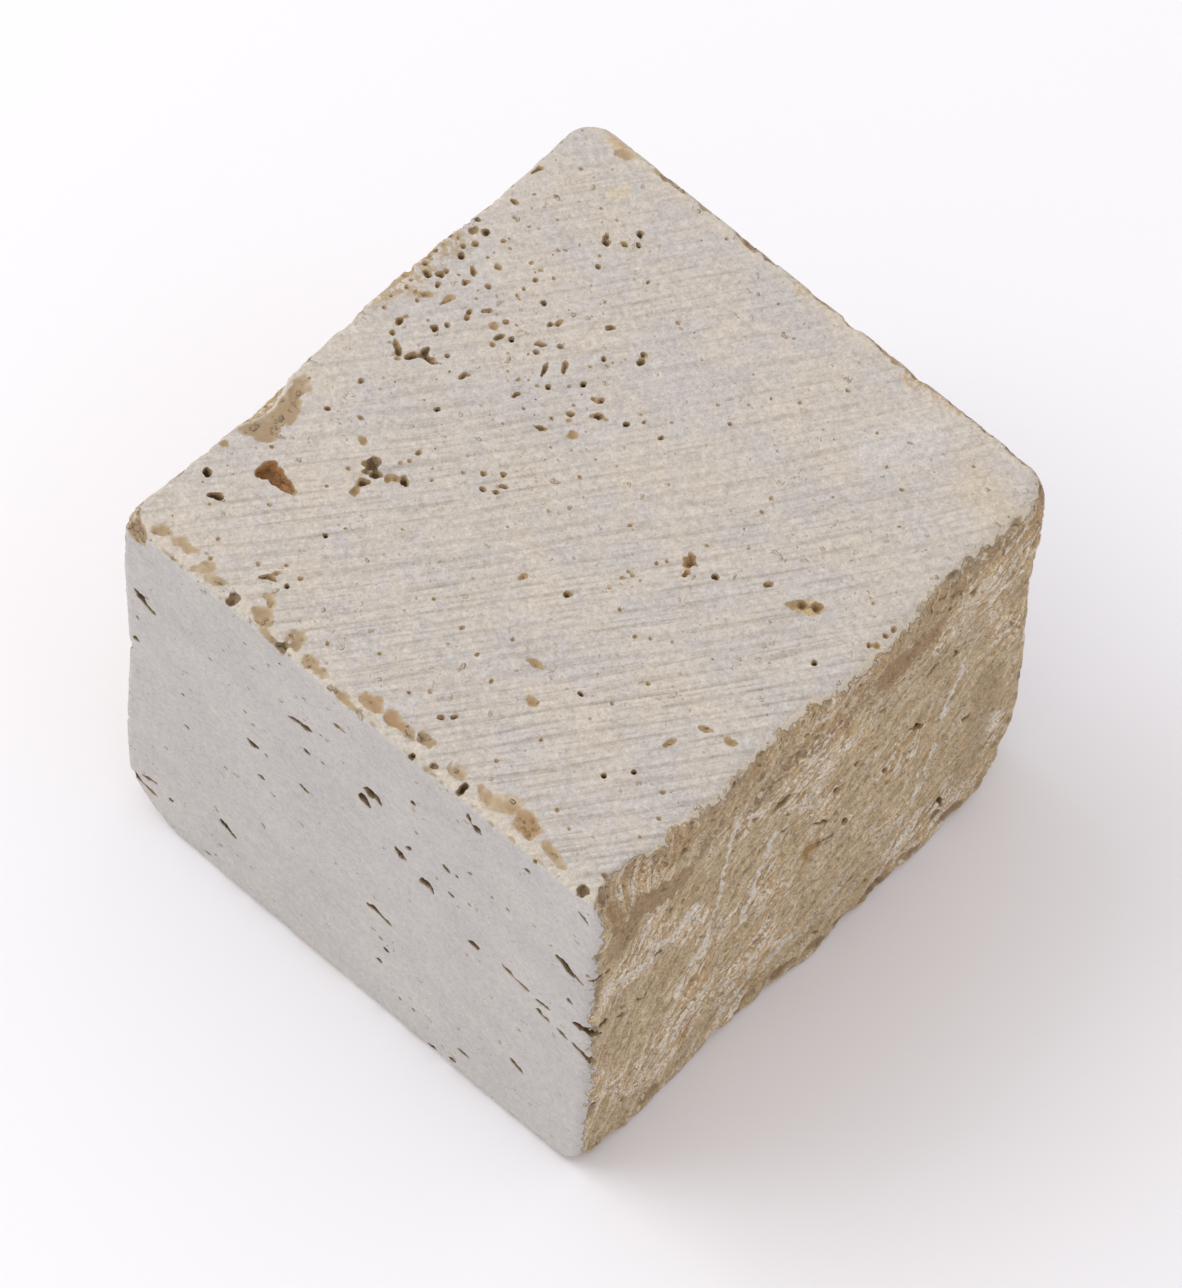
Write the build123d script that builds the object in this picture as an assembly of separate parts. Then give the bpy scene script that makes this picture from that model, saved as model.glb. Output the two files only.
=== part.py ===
from build123d import *

import os
from math import pi, sin

# A tumbled travertine sett in one piece: top, bed and two sides sawn, two ends split, arrises worn
# and corners broken. The frame stands on the centre of the bed. X runs from split end to split end,
# Y from sawn side to sawn side, Z up. Millimetres.

# The block as sawn and split. LENGTH is over the crests of the split ends, level with the top.
LENGTH = 102.0
WIDTH = 104.0
HEIGHT = 85.0

# What tumbling wore off the arrises
CRISP_UPRIGHT_RADIUS = 2.4
WORN_UPRIGHT_RADIUS = 5.5
LEVEL_ARRIS_RADIUS = 1.6

# The split ends: how far the foot lies behind the head, or proud of it where the value is below
# zero, the setback at both sides, and the waves
FRONT_END_LEAN = 1.5
REAR_END_LEAN = -0.7
END_CROWN = 0.2
WAVE_DEPTH = 0.45
WAVE_LENGTH_ACROSS = 58.0
WAVE_LENGTH_UP = 47.0
FRONT_WAVE_PHASE = 3.6
REAR_WAVE_PHASE = 4.0
SURFACE_STEPS = 9

# The strip is longer than the block before splitting, and waste solids reach past it all round
SPLIT_WASTE = 12.0
WASTE_MARGIN = 12.0

# Broken corners: end, side, top or bed, then the way the break faces and its depth. Each break is
# a patch of a ball this many times its depth in radius.
BREAK_ROUNDNESS = 9.0
CORNER_BREAKS = (
    (-1, -1, -1, (1.0, 0.8, 1.0), 6.2),
    (1, 1, -1, (1.0, 1.0, 0.75), 6.8),
    (1, -1, -1, (1.0, 0.8, 0.8), 3.0),
    (-1, 1, -1, (0.8, 0.8, 1.0), 3.6),
    (-1, 1, 1, (1.0, 0.9, 0.8), 2.6),
    (-1, -1, 1, (1.0, 0.9, 0.8), 2.2),
    (1, 1, 1, (1.0, 1.0, 0.8), 2.4),
)

# Spalls along the arrises of the ends: end, place across from the middle as a share of half the
# width, top or bed, how far below or above that level the spall centres, its radius and its depth
SPALLS = (
    (1, -0.86, 1, 4.0, 13.0, 2.6),
    (-1, -0.42, 1, 0.0, 13.0, 1.9),
    (1, 0.62, 1, 0.0, 26.0, 1.9),
    (-1, 0.47, -1, 1.0, 16.0, 2.3),
)


def end_x(side, across, up):
    """Where the +X end (side 1) or the -X end (side -1) lies at one point across and up it."""
    lean, phase = (FRONT_END_LEAN, FRONT_WAVE_PHASE) if side > 0 else (REAR_END_LEAN, REAR_WAVE_PHASE)
    setback = END_CROWN * (2 * across / WIDTH) ** 2 + lean * (1 - up / HEIGHT)
    setback += WAVE_DEPTH * (1 + sin(2 * pi * across / WAVE_LENGTH_ACROSS + phase))
    setback += WAVE_DEPTH * (1 + sin(2 * pi * up / WAVE_LENGTH_UP + 2 * phase))
    return side * (LENGTH / 2 - setback)


def end_waste(side):
    """What splitting takes off one end."""
    width = WIDTH + 2 * WASTE_MARGIN
    height = HEIGHT + 2 * WASTE_MARGIN
    rows = []
    for i in range(SURFACE_STEPS):
        up = height * i / (SURFACE_STEPS - 1) - WASTE_MARGIN
        row = []
        for j in range(SURFACE_STEPS):
            across = width * j / (SURFACE_STEPS - 1) - width / 2
            row.append(Vector(end_x(side, across, up), across, up))
        rows.append(row)
    face = Face.make_surface_from_array_of_points(rows)
    return Solid.extrude(face, Vector(side * (SPLIT_WASTE + WASTE_MARGIN), 0, 0))


def uprights(block, crisp):
    """The block's upright arrises: the two crisp ones on the -Y side, or the two worn ones."""
    tall = [edge for edge in block.edges() if edge.bounding_box().size.Z > HEIGHT / 2]
    return [edge for edge in tall if crisp == (edge.center().Y < 0)]


def tumbled(block):
    """The block with its arrises rounded: the four uprights, then those round the top and the bed."""
    block = fillet(uprights(block, crisp=True), CRISP_UPRIGHT_RADIUS)
    block = fillet(uprights(block, crisp=False), WORN_UPRIGHT_RADIUS)
    level = [edge for edge in block.edges() if edge.bounding_box().size.Z < LEVEL_ARRIS_RADIUS / 10]
    return fillet(level, LEVEL_ARRIS_RADIUS)


def corner_waste(end, side, level, facing, depth):
    """What broke off one corner: all that lies outside a ball that leaves the corner bare."""
    radius = BREAK_ROUNDNESS * depth
    up = HEIGHT * (1 + level) / 2
    across = side * WIDTH / 2
    tip = Vector(end_x(end, across, up), across, up)
    out = Vector(end * facing[0], side * facing[1], level * facing[2]).normalized()
    centre = tip - out * (radius + depth)
    reach = tip + Vector(end, side, level) * WASTE_MARGIN
    size = reach - centre
    block = Pos(centre + size / 2) * Box(abs(size.X), abs(size.Y), abs(size.Z))
    return block - Pos(centre) * Sphere(radius)


def spall_waste(end, share, level, off, radius, depth):
    """The ball that scoops one spall out of the arris of an end."""
    across = share * WIDTH / 2
    up = HEIGHT * (1 + level) / 2 - level * off
    arris = Vector(end_x(end, across, up), across, up)
    out = Vector(end, 0, level * radius / (radius + 2 * off)).normalized()
    return Pos(arris + out * (radius - depth)) * Sphere(radius)


def paver():
    """The finished sett, standing on the centre of its bed."""
    block = Pos(0, 0, HEIGHT / 2) * Box(LENGTH + 2 * SPLIT_WASTE, WIDTH, HEIGHT)
    block = tumbled(block - end_waste(1) - end_waste(-1))
    for corner in CORNER_BREAKS:
        block -= corner_waste(*corner)
    for spall in SPALLS:
        block -= spall_waste(*spall)
    box = block.bounding_box()
    return Pos(-box.center().X, -box.center().Y, -box.min.Z) * block


os.makedirs("parts", exist_ok=True)
export_step(paver(), "parts/paver.step")
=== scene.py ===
import logging
import math
import random
import time
from dataclasses import dataclass, fields, replace
from enum import Enum

import bmesh
import bpy
import numpy as np
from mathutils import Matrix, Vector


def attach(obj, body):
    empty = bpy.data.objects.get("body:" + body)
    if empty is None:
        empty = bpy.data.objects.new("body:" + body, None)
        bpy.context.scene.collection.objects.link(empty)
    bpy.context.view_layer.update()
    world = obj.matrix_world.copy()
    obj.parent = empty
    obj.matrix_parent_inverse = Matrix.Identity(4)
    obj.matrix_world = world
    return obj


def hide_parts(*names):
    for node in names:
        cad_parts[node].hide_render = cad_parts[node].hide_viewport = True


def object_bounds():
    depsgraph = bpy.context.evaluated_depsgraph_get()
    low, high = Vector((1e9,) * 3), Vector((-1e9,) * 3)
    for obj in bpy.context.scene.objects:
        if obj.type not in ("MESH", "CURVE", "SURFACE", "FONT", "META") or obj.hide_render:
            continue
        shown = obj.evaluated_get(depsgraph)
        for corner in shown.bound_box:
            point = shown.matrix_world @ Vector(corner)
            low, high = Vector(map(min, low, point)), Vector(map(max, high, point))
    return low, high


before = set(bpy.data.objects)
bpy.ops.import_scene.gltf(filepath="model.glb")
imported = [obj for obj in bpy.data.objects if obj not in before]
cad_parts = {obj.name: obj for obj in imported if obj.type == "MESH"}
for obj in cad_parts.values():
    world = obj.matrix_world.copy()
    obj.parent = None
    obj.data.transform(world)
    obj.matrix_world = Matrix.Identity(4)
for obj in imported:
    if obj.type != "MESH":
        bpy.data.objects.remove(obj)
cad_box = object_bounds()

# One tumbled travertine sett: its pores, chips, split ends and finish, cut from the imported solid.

import openvdb as vdb
from mathutils import Matrix, Vector
from mathutils.bvhtree import BVHTree

log = logging.getLogger("sett")

METRE = 1000.0  # millimetres in a metre: the block is cut in millimetres and shown in metres
NODE = "paver"
SLOT = "travertine"
PIECE = "travertine_paver"
BODY = "root"
SAME_PLACE = 1e-6  # metres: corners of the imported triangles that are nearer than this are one
SAME_WAY = 1e-3  # length of the cross product of two ways that count as the same
POINT = 0.05  # mm: a line that is shorter is a point
PORE_SHARE = 0.43  # half size of a pore's plug as a share of its mouth, since the lumps widen it

Colour = tuple[int, int, int]
Pixel = tuple[float, float]
Line = tuple[float, float, float, float]


class Socket:
    """The output of a node, in expressions that add Math nodes to its graph."""

    def __init__(self, graph: "Graph", output: bpy.types.NodeSocket) -> None:
        """Keeps the output and the graph that it belongs to."""
        self.graph = graph
        self.output = output

    def __add__(self, other: "Socket | float") -> "Socket":
        """The sum of both."""
        return self.graph.maths("ADD", self, other)

    def __sub__(self, other: "Socket | float") -> "Socket":
        """This less the other."""
        return self.graph.maths("SUBTRACT", self, other)

    def __rsub__(self, other: float) -> "Socket":
        """A number less this."""
        return self.graph.maths("SUBTRACT", other, self)

    def __mul__(self, other: "Socket | float") -> "Socket":
        """The product of both."""
        return self.graph.maths("MULTIPLY", self, other)

    def __truediv__(self, other: "Socket | float") -> "Socket":
        """This divided by the other."""
        return self.graph.maths("DIVIDE", self, other)

    def __rtruediv__(self, other: float) -> "Socket":
        """A number divided by this."""
        return self.graph.maths("DIVIDE", other, self)

    def __abs__(self) -> "Socket":
        """Its size without its sign."""
        return self.graph.maths("ABSOLUTE", self)

    __radd__ = __add__
    __rmul__ = __mul__

    def least(self, other: "Socket | float") -> "Socket":
        """The smaller of both."""
        return self.graph.maths("MINIMUM", self, other)

    def most(self, other: "Socket | float") -> "Socket":
        """The larger of both."""
        return self.graph.maths("MAXIMUM", self, other)

    def rise(self, low: float, high: float, full: float = 1.0) -> "Socket":
        """A smooth step, up or down.

        Args:
            low: Where it is 0.
            high: Where it is full, above low for a step up and below it for a step down.
            full: How high it goes.

        Returns:
            The step.
        """
        start, stop, first, last = (low, high, 0.0, full) if low < high else (high, low, full, 0.0)
        values = {"Value": self, "From Min": start, "From Max": stop, "To Min": first, "To Max": last}
        return self.graph.node("ShaderNodeMapRange", {"interpolation_type": "SMOOTHSTEP"}, values)

    def other(self, name: str) -> "Socket":
        """Another output of the same node, by its name."""
        return Socket(self.graph, self.output.node.outputs[name])


@dataclass(frozen=True)
class Cloud:
    """Cloudy noise: how wide its clouds are in mm, how many finer layers it has and how strong they are."""

    size: float
    detail: float = 1.0
    rough: float = 0.5


class Graph:
    """A node tree, of a material or of geometry, that is written as expressions."""

    def __init__(self, tree: bpy.types.NodeTree) -> None:
        """Keeps the tree."""
        self.tree = tree

    def node(self, kind: str, settings: dict | None = None, inputs: dict | None = None) -> Socket:
        """Adds one node.

        Args:
            kind: The node's type name.
            settings: Its properties, which are set first, since they decide which sockets it has.
            inputs: Values or links of its sockets, by name or by position.

        Returns:
            Its first output in use.
        """
        made = self.tree.nodes.new(kind)
        for name, setting in (settings or {}).items():
            setattr(made, name, setting)
        for key, value in (inputs or {}).items():
            if isinstance(key, int):
                slot = made.inputs[key]
            else:
                slot = next(each for each in made.inputs if each.enabled and each.name == key)
            if isinstance(value, Socket):
                self.tree.links.new(value.output, slot)
            else:
                slot.default_value = value
        return Socket(self, next((each for each in made.outputs if each.enabled), None))

    def maths(self, operation: str, *values: Socket | float) -> Socket:
        """A Math node with those values or links."""
        return self.node("ShaderNodeMath", {"operation": operation}, dict(enumerate(values)))

    def vector_maths(self, operation: str, *values: Socket | tuple) -> Socket:
        """A Vector Math node with those vectors."""
        return self.node("ShaderNodeVectorMath", {"operation": operation}, dict(enumerate(values)))

    def scaled(self, vector: Socket, factor: Socket | float) -> Socket:
        """A vector, or a colour, times a number."""
        return self.node("ShaderNodeVectorMath", {"operation": "SCALE"}, {"Vector": vector, "Scale": factor})

    def vector(self, x: Socket | float, y: Socket | float, z: Socket | float) -> Socket:
        """A vector of three values."""
        return self.node("ShaderNodeCombineXYZ", None, {"X": x, "Y": y, "Z": z})

    def apart(self, vector: Socket) -> tuple[Socket, Socket, Socket]:
        """The three values of a vector."""
        first = self.node("ShaderNodeSeparateXYZ", None, {"Vector": vector})
        return first, first.other("Y"), first.other("Z")

    def noise(self, place: Socket, size: Socket | float, detail: float = 2.0, rough: float = 0.5) -> Socket:
        """Cloudy noise from 0 to 1.

        Args:
            place: Where it is read, in mm.
            size: How wide its clouds are, in mm.
            detail: How many finer layers it has.
            rough: How strong each finer layer is beside the one before.

        Returns:
            The noise.
        """
        values = {"Vector": place, "Scale": 1.0 / size, "Detail": detail, "Roughness": rough}
        return self.node("ShaderNodeTexNoise", {"normalize": True}, values)

    def cloud(self, place: Socket, kind: Cloud) -> Socket:
        """Cloudy noise of one kind, from 0 to 1."""
        return self.noise(place, kind.size, kind.detail, kind.rough)

    def swirl(self, place: Socket, scale: float, detail: float, rough: float) -> Socket:
        """Cloudy noise that points some way.

        Args:
            place: Where it is read.
            scale: How many clouds it has in a length of 1.
            detail: How many finer layers it has.
            rough: How strong each finer layer is beside the one before.

        Returns:
            A vector, each value of which lies about 0.
        """
        values = {"Vector": place, "Scale": scale, "Detail": detail, "Roughness": rough}
        cloud = self.node("ShaderNodeTexNoise", None, values).other("Color")
        return self.vector_maths("SUBTRACT", cloud, (0.5, 0.5, 0.5))

    def mixed(self, share: Socket | float, first: Socket | tuple, second: Socket | tuple) -> Socket:
        """A blend of two colours, from the first at 0 to the second at 1."""
        values = {"Factor": share, "A": first, "B": second}
        return self.node("ShaderNodeMix", {"data_type": "RGBA", "clamp_factor": True}, values)


class Recipe(Graph):
    """A Geometry Nodes tree with named inputs, for one mesh at a time."""

    def __init__(self, name: str, material: bpy.types.Material) -> None:
        """Starts the tree with its geometry in and out and its material.

        Args:
            name: What the tree is called.
            material: What it gives its mesh.
        """
        super().__init__(bpy.data.node_groups.new(name, "GeometryNodeTree"))
        for way in ("INPUT", "OUTPUT"):
            self.tree.interface.new_socket("Geometry", in_out=way, socket_type="NodeSocketGeometry")
        self.source = self.tree.nodes.new("NodeGroupInput")
        self.values: dict[str, object] = {}
        self.material = self.named("Material", "Material", material)

    def geometry(self) -> Socket:
        """The mesh that comes in."""
        return Socket(self, self.source.outputs["Geometry"])

    def named(self, name: str, kind: str, value: object) -> Socket:
        """Adds a named input.

        Args:
            name: What the input is called.
            kind: Its socket's type, such as Float or Material.
            value: What the modifier sets it to.

        Returns:
            The input, for use in the tree.
        """
        item = self.tree.interface.new_socket(name, in_out="INPUT", socket_type="NodeSocket" + kind)
        self.values[item.identifier] = value
        return Socket(self, self.source.outputs[name])

    def moved(self, geometry: Socket, offset: Socket) -> Socket:
        """A mesh whose points are moved."""
        return self.node("GeometryNodeSetPosition", None, {"Geometry": geometry, "Offset": offset})

    def ends_in(self, geometry: Socket) -> None:
        """Links what the tree gives out.

        Args:
            geometry: The mesh, which is made real and given its material.
        """
        real = self.node("GeometryNodeRealizeInstances", None, {"Geometry": geometry})
        dressed = self.node("GeometryNodeSetMaterial", None, {"Geometry": real, "Material": self.material})
        out = self.tree.nodes.new("NodeGroupOutput")
        self.tree.links.new(dressed.output, out.inputs["Geometry"])

    def applied(self, mesh: bpy.types.Mesh) -> bpy.types.Mesh:
        """Runs the tree on a mesh.

        Args:
            mesh: What goes in. It is used up.

        Returns:
            The result as a plain mesh.
        """
        carrier = bpy.data.objects.new(self.tree.name, mesh)
        modifier = carrier.modifiers.new(self.tree.name, "NODES")
        modifier.node_group = self.tree
        for identifier, value in self.values.items():
            modifier[identifier] = value
        return plain(carrier, modifier)


def plain(carrier: bpy.types.Object, *modifiers: bpy.types.Modifier) -> bpy.types.Mesh:
    """Makes a plain mesh of an object with modifiers, and takes the object away.

    Args:
        carrier: An object that isn't in the scene yet.
        modifiers: Its modifiers, which are removed after they have run.

    Returns:
        The finished mesh.
    """
    scene = bpy.context.scene.collection
    scene.objects.link(carrier)
    depsgraph = bpy.context.evaluated_depsgraph_get()
    made = bpy.data.meshes.new_from_object(carrier.evaluated_get(depsgraph), depsgraph=depsgraph)
    for modifier in modifiers:
        carrier.modifiers.remove(modifier)
    before = carrier.data
    bpy.data.objects.remove(carrier)
    bpy.data.meshes.remove(before)
    return made


def linear(colour: Colour) -> tuple[float, float, float, float]:
    """A colour as seen on a screen, 0 to 255, as the light that it reflects."""
    shares = [part / 255 for part in colour]
    return (*[s / 12.92 if s <= 0.04045 else ((s + 0.055) / 1.055) ** 2.4 for s in shares], 1.0)


@dataclass(frozen=True)
class Photo:
    """The photograph's camera, beside the block in the block's own frame.

    The heading turns from +Y towards -X, and the lens is as long as so many pixels.
    """

    eye: tuple[float, float, float] = (566.1, -652.9, 1489.4)
    heading: float = 43.35
    pitch: float = 53.93
    roll: float = 0.527
    lens: float = 4817.4
    centre: Pixel = (591.0, 644.0)
    width: int = 1182
    height: int = 1288

    def axes(self) -> tuple[Vector, Vector, Vector]:
        """The picture's own axes.

        Returns:
            The ways that are right, up and ahead in it.
        """
        turn, down, lean = (math.radians(a) for a in (self.heading, self.pitch, self.roll))
        ahead = Vector((-math.sin(turn) * math.cos(down), math.cos(turn) * math.cos(down), -math.sin(down)))
        right = Vector((math.cos(turn), math.sin(turn), 0.0))
        up = right.cross(ahead)
        return (
            right * math.cos(lean) + up * math.sin(lean),
            up * math.cos(lean) - right * math.sin(lean),
            ahead,
        )

    def ray(self, pixel: Pixel) -> Vector:
        """The way from the eye through a pixel.

        Args:
            pixel: Where in the picture.

        Returns:
            The way, of length 1.
        """
        right, up, ahead = self.axes()
        across = (pixel[0] - self.centre[0]) / self.lens
        above = (self.centre[1] - pixel[1]) / self.lens
        return (ahead + right * across + up * above).normalized()


@dataclass(frozen=True)
class Hollow:
    """A pore, slit or chip that the photograph shows, from one pixel of its middle line to the other.

    Its width and depth are in mm. Its hue runs from -1, a dull grey-brown on a chip and a painted dark shade
    in a pore, over 0, tan, to 1, rusty orange.
    """

    start: Pixel
    end: Pixel
    width: float
    depth: float
    hue: float = 0.0


@dataclass(frozen=True)
class Stain:
    """A patch of another colour that the photograph shows, along the line from one pixel to the other.

    Its width and how soft its rim is are in mm. The skin shows through a gritty one in crumbs.
    """

    start: Pixel
    end: Pixel
    width: float
    colour: Colour
    strength: float = 0.8
    soft: float = 0.5
    gritty: bool = False

    def share(self, graph: Graph, mm: Socket, ends: tuple[Vector, Vector], grit: Socket) -> Socket:
        """How much of the patch's colour shows.

        Args:
            graph: The tree to write in.
            mm: The point, with its ragged shift.
            ends: The places of both pixels on the block, in mm.
            grit: How much of a gritty patch shows there, from 0 to 1.

        Returns:
            The share, from 0 to the patch's strength.
        """
        run = ends[1] - ends[0]
        way = graph.vector_maths("SUBTRACT", mm, tuple(ends[0]))
        if run.length > POINT:
            part = graph.vector_maths("DOT_PRODUCT", way, tuple(run / run.length_squared)).other("Value")
            part = graph.node("ShaderNodeClamp", None, {"Value": part})
            way = graph.vector_maths("SUBTRACT", way, graph.scaled(tuple(run), part))
        gap = graph.vector_maths("LENGTH", way).other("Value")
        share = gap.rise(self.width / 2 + self.soft, self.width / 2 - self.soft, self.strength)
        return share * grit if self.gritty else share


def veins(width: float, strength: float, *lines: tuple[Pixel, ...]) -> tuple[Stain, ...]:
    """Pale crystal veins of one width, each a line from pixel to pixel."""
    pairs = [pair for line in lines for pair in zip(line, line[1:])]
    return tuple(Stain(start, end, width, (220, 212, 200), strength, 0.3) for start, end in pairs)


def dots(width: float, depth: float, *pixels: Pixel, hue: float = 0.0) -> tuple[Hollow, ...]:
    """Round hollows of one width and depth, one at each pixel."""
    return tuple(Hollow(pixel, pixel, width, depth, hue) for pixel in pixels)


def slits(width: float, depth: float, *lines: Line, hue: float = 0.0) -> tuple[Hollow, ...]:
    """Long hollows of one width and depth, one on each line from its first pixel to its last."""
    return tuple(Hollow(line[:2], line[2:], width, depth, hue) for line in lines)


BLACK_HOLES = dots(
    0.95, 2.0,
    (575.6, 1038.7), (558.3, 1061.6), (709.5, 988.6), (690.0, 1110.2), (714.0, 1145.0), (700.0, 1146.6),
    (794.6, 1096.0), (675.0, 972.2), (690.6, 970.5), (658.7, 950.8), (625.5, 982.0),
)
PORES_BY_REAR_END = dots(
    0.95, 0.9,
    (624.5, 910.5), (620.0, 916.6), (629.6, 920.0), (638.0, 925.0), (625.5, 926.0), (648.5, 927.0),
    (637.0, 909.0), (656.0, 943.0), (669.4, 956.4), (676.0, 943.7), (679.6, 943.7), (673.0, 934.0),
    (668.9, 924.0), (699.8, 959.0), (717.3, 957.0), (725.5, 994.7), (629.6, 944.0), (630.0, 958.0),
    (701.0, 904.4), (709.0, 908.0), (715.3, 908.5), (697.0, 917.9), (638.8, 940.6), (639.8, 938.0),
    (605.5, 947.4), (623.4, 961.0), (680.6, 953.7), (576.6, 981.6), (591.3, 969.0), (642.7, 908.0),
    (646.0, 1011.0), (655.0, 1011.4), (655.4, 1016.6), (651.6, 1019.0), (645.4, 1017.6), (643.0, 896.6),
)
WIDER_PORES = dots(
    1.3, 1.2,
    (627.0, 921.7), (647.4, 902.3), (608.7, 942.0), (624.5, 945.5), (716.8, 960.5), (715.8, 903.4),
    (621.4, 921.7), (700.5, 907.0), (522.4, 1010.0), (633.0, 898.8), (630.0, 904.0), (636.0, 913.0),
    (683.4, 1065.0), (749.7, 1056.8), (697.0, 984.7),
)
TAN_PORES = dots(
    1.6, 0.6,
    (686.0, 993.7), (610.7, 921.0), (613.0, 919.0), (641.0, 902.0), (650.5, 944.7), (669.6, 1096.0),
    (668.0, 1113.0), (521.3, 999.5), (530.0, 997.0), (757.0, 1131.3), (592.4, 995.8), (785.0, 1069.5),
)
FAINT_PORES = dots(
    0.75, 0.55,
    (663.8, 927.9), (717.9, 987.6), (756.6, 988.6), (719.4, 925.0), (609.0, 1006.0), (585.5, 1008.4),
    (623.0, 1013.7), (527.4, 1040.0), (523.9, 1048.7), (545.3, 1051.6), (557.9, 1052.0), (576.4, 1087.0),
    (636.4, 1080.0), (623.9, 1067.0), (707.3, 1071.6), (659.4, 1085.0), (703.8, 1114.0), (714.0, 1083.9),
    (745.6, 1126.0), (672.0, 1130.3), (652.0, 1140.0), (723.7, 1051.0), (728.3, 1050.0), (708.4, 1057.3),
    (713.0, 1056.8), (775.0, 1022.0), (771.0, 1028.0), (712.0, 1034.0), (654.0, 1016.0), (809.0, 973.5),
    (679.3, 1162.0), (725.2, 1166.0), (622.3, 1109.0), (612.7, 1109.0), (613.0, 1005.0), (733.0, 943.0),
    (646.0, 937.6), (638.6, 925.0), (601.4, 936.2), (605.0, 931.0), (590.6, 936.6), (613.6, 924.2),
    (611.6, 927.2), (615.6, 929.0), (634.6, 905.2), (611.6, 940.2), (606.6, 951.0), (626.0, 906.0),
)
TOP_SLITS = slits(
    0.9, 0.9,
    (635.6, 968.0, 638.6, 966.0), (671.8, 967.0, 674.6, 961.4), (681.4, 966.0, 683.3, 960.4),
    (669.0, 952.6, 674.0, 953.1), (651.6, 949.7, 654.8, 948.8), (659.4, 975.6, 662.0, 974.6),
    (684.0, 984.1, 686.4, 984.0), (670.0, 989.8, 673.0, 990.4), (701.6, 945.0, 704.4, 945.4),
    (667.4, 876.0, 671.4, 873.6), (641.3, 918.8, 641.3, 921.2), (547.0, 1057.4, 550.0, 1056.6),
    (550.0, 1056.8, 553.4, 1059.0), (626.4, 1120.6, 628.0, 1120.4), (632.6, 1120.4, 634.0, 1120.0),
    (697.6, 978.6, 699.8, 977.6), (772.4, 1060.6, 775.2, 1060.2),
)
TAN_SLITS = slits(
    1.2, 0.55,
    (618.0, 930.8, 622.4, 930.2), (627.0, 934.6, 632.0, 931.2), (663.0, 1057.0, 665.0, 1056.6),
    (667.0, 1094.6, 671.0, 1097.0), (667.0, 1112.0, 670.0, 1114.0), (743.6, 1124.8, 747.4, 1126.2),
    (755.4, 1130.8, 758.2, 1132.2), (728.0, 1132.6, 732.0, 1130.6),
)
TWIN_PITS = slits(1.2, 1.8, (522.0, 1008.8, 522.6, 1011.2), (524.2, 1020.0, 529.0, 1021.4))
RING_BY_REAR_END = slits(
    1.2, 1.1,
    (607.2, 953.4, 608.6, 957.0), (611.4, 958.6, 616.2, 957.6), (618.6, 957.0, 621.2, 954.6),
    (619.4, 957.8, 622.6, 960.2),
)
CLUSTER_BY_LEFT = (
    dots(2.3, 1.1, (596.4, 1006.4), hue=-0.4)
    + dots(1.5, 1.5, (592.0, 1014.4), (597.8, 1011.0), (610.4, 1014.0))
    + dots(1.5, 0.7, (588.4, 1018.6), (603.4, 1012.6), hue=0.2)
    + dots(1.1, 0.8, (606.6, 1012.8), (617.0, 1001.4), (593.6, 1009.6))
)
RUSTY_PIT = (
    slits(2.8, 1.9, (547.0, 1010.2, 551.0, 1009.2), hue=0.9)
    + slits(2.4, 1.5, (551.4, 1012.0, 555.0, 1014.4), hue=0.8)
    + slits(1.3, 0.9, (555.0, 1009.6, 560.6, 1018.4), (555.0, 1015.6, 560.6, 1019.6), hue=0.05)
)
OCHRE_PORES = dots(1.7, 1.1, (788.8, 1069.4), (795.2, 1071.0), (738.6, 1050.6), hue=0.35) + slits(
    0.9, 0.8, (738.6, 1046.2, 741.4, 1052.0), (735.6, 1056.4, 738.2, 1054.8), hue=0.5
)
FRONT_SLITS = slits(
    1.45, 2.1,
    (491.6, 1064.6, 495.0, 1069.4), (488.8, 1145.2, 493.4, 1149.8), (529.8, 1168.2, 532.0, 1171.0),
    (564.0, 1123.2, 567.0, 1125.6), (541.4, 1131.2, 544.0, 1133.6), (618.4, 1194.4, 622.0, 1196.0),
    (595.0, 1205.0, 599.0, 1208.6), (640.4, 1222.0, 643.0, 1224.0), (622.4, 1268.8, 625.6, 1272.2),
    (687.4, 1259.0, 691.0, 1261.2), (642.2, 1170.0, 644.2, 1172.2), (607.4, 1180.2, 610.0, 1183.6),
    (596.6, 1154.6, 600.0, 1159.8),
    hue=-0.6,
) + slits(
    1.05, 1.4,
    (495.0, 1070.0, 499.0, 1074.4), (493.4, 1149.8, 500.2, 1156.2), (494.4, 1147.0, 500.0, 1150.4),
    (532.0, 1171.0, 535.0, 1175.0), (559.0, 1120.2, 562.8, 1122.4), (564.4, 1151.2, 567.0, 1154.0),
    (635.8, 1153.6, 638.4, 1150.4), (579.6, 1123.6, 584.0, 1127.2), (599.0, 1208.6, 604.2, 1214.0),
    (655.0, 1232.4, 660.6, 1238.6), (660.6, 1238.6, 666.4, 1243.8), (669.6, 1247.6, 676.0, 1252.6),
    (671.6, 1254.0, 675.4, 1257.4), (680.4, 1262.2, 683.0, 1265.0), (686.6, 1268.2, 690.6, 1272.0),
    (690.6, 1272.0, 695.4, 1276.4), (691.0, 1261.2, 699.4, 1263.8), (635.0, 1270.2, 639.0, 1273.6),
    (639.2, 1164.0, 640.2, 1167.2), (622.0, 1196.0, 623.4, 1199.4), (598.0, 1250.2, 600.2, 1252.6),
    (686.4, 1236.4, 690.4, 1241.0), (628.6, 1187.4, 630.8, 1190.4), (690.0, 1209.4, 692.6, 1213.2),
    (520.6, 1180.0, 523.4, 1182.2), (660.6, 1277.4, 663.2, 1280.4),
    hue=-0.4,
)
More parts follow.
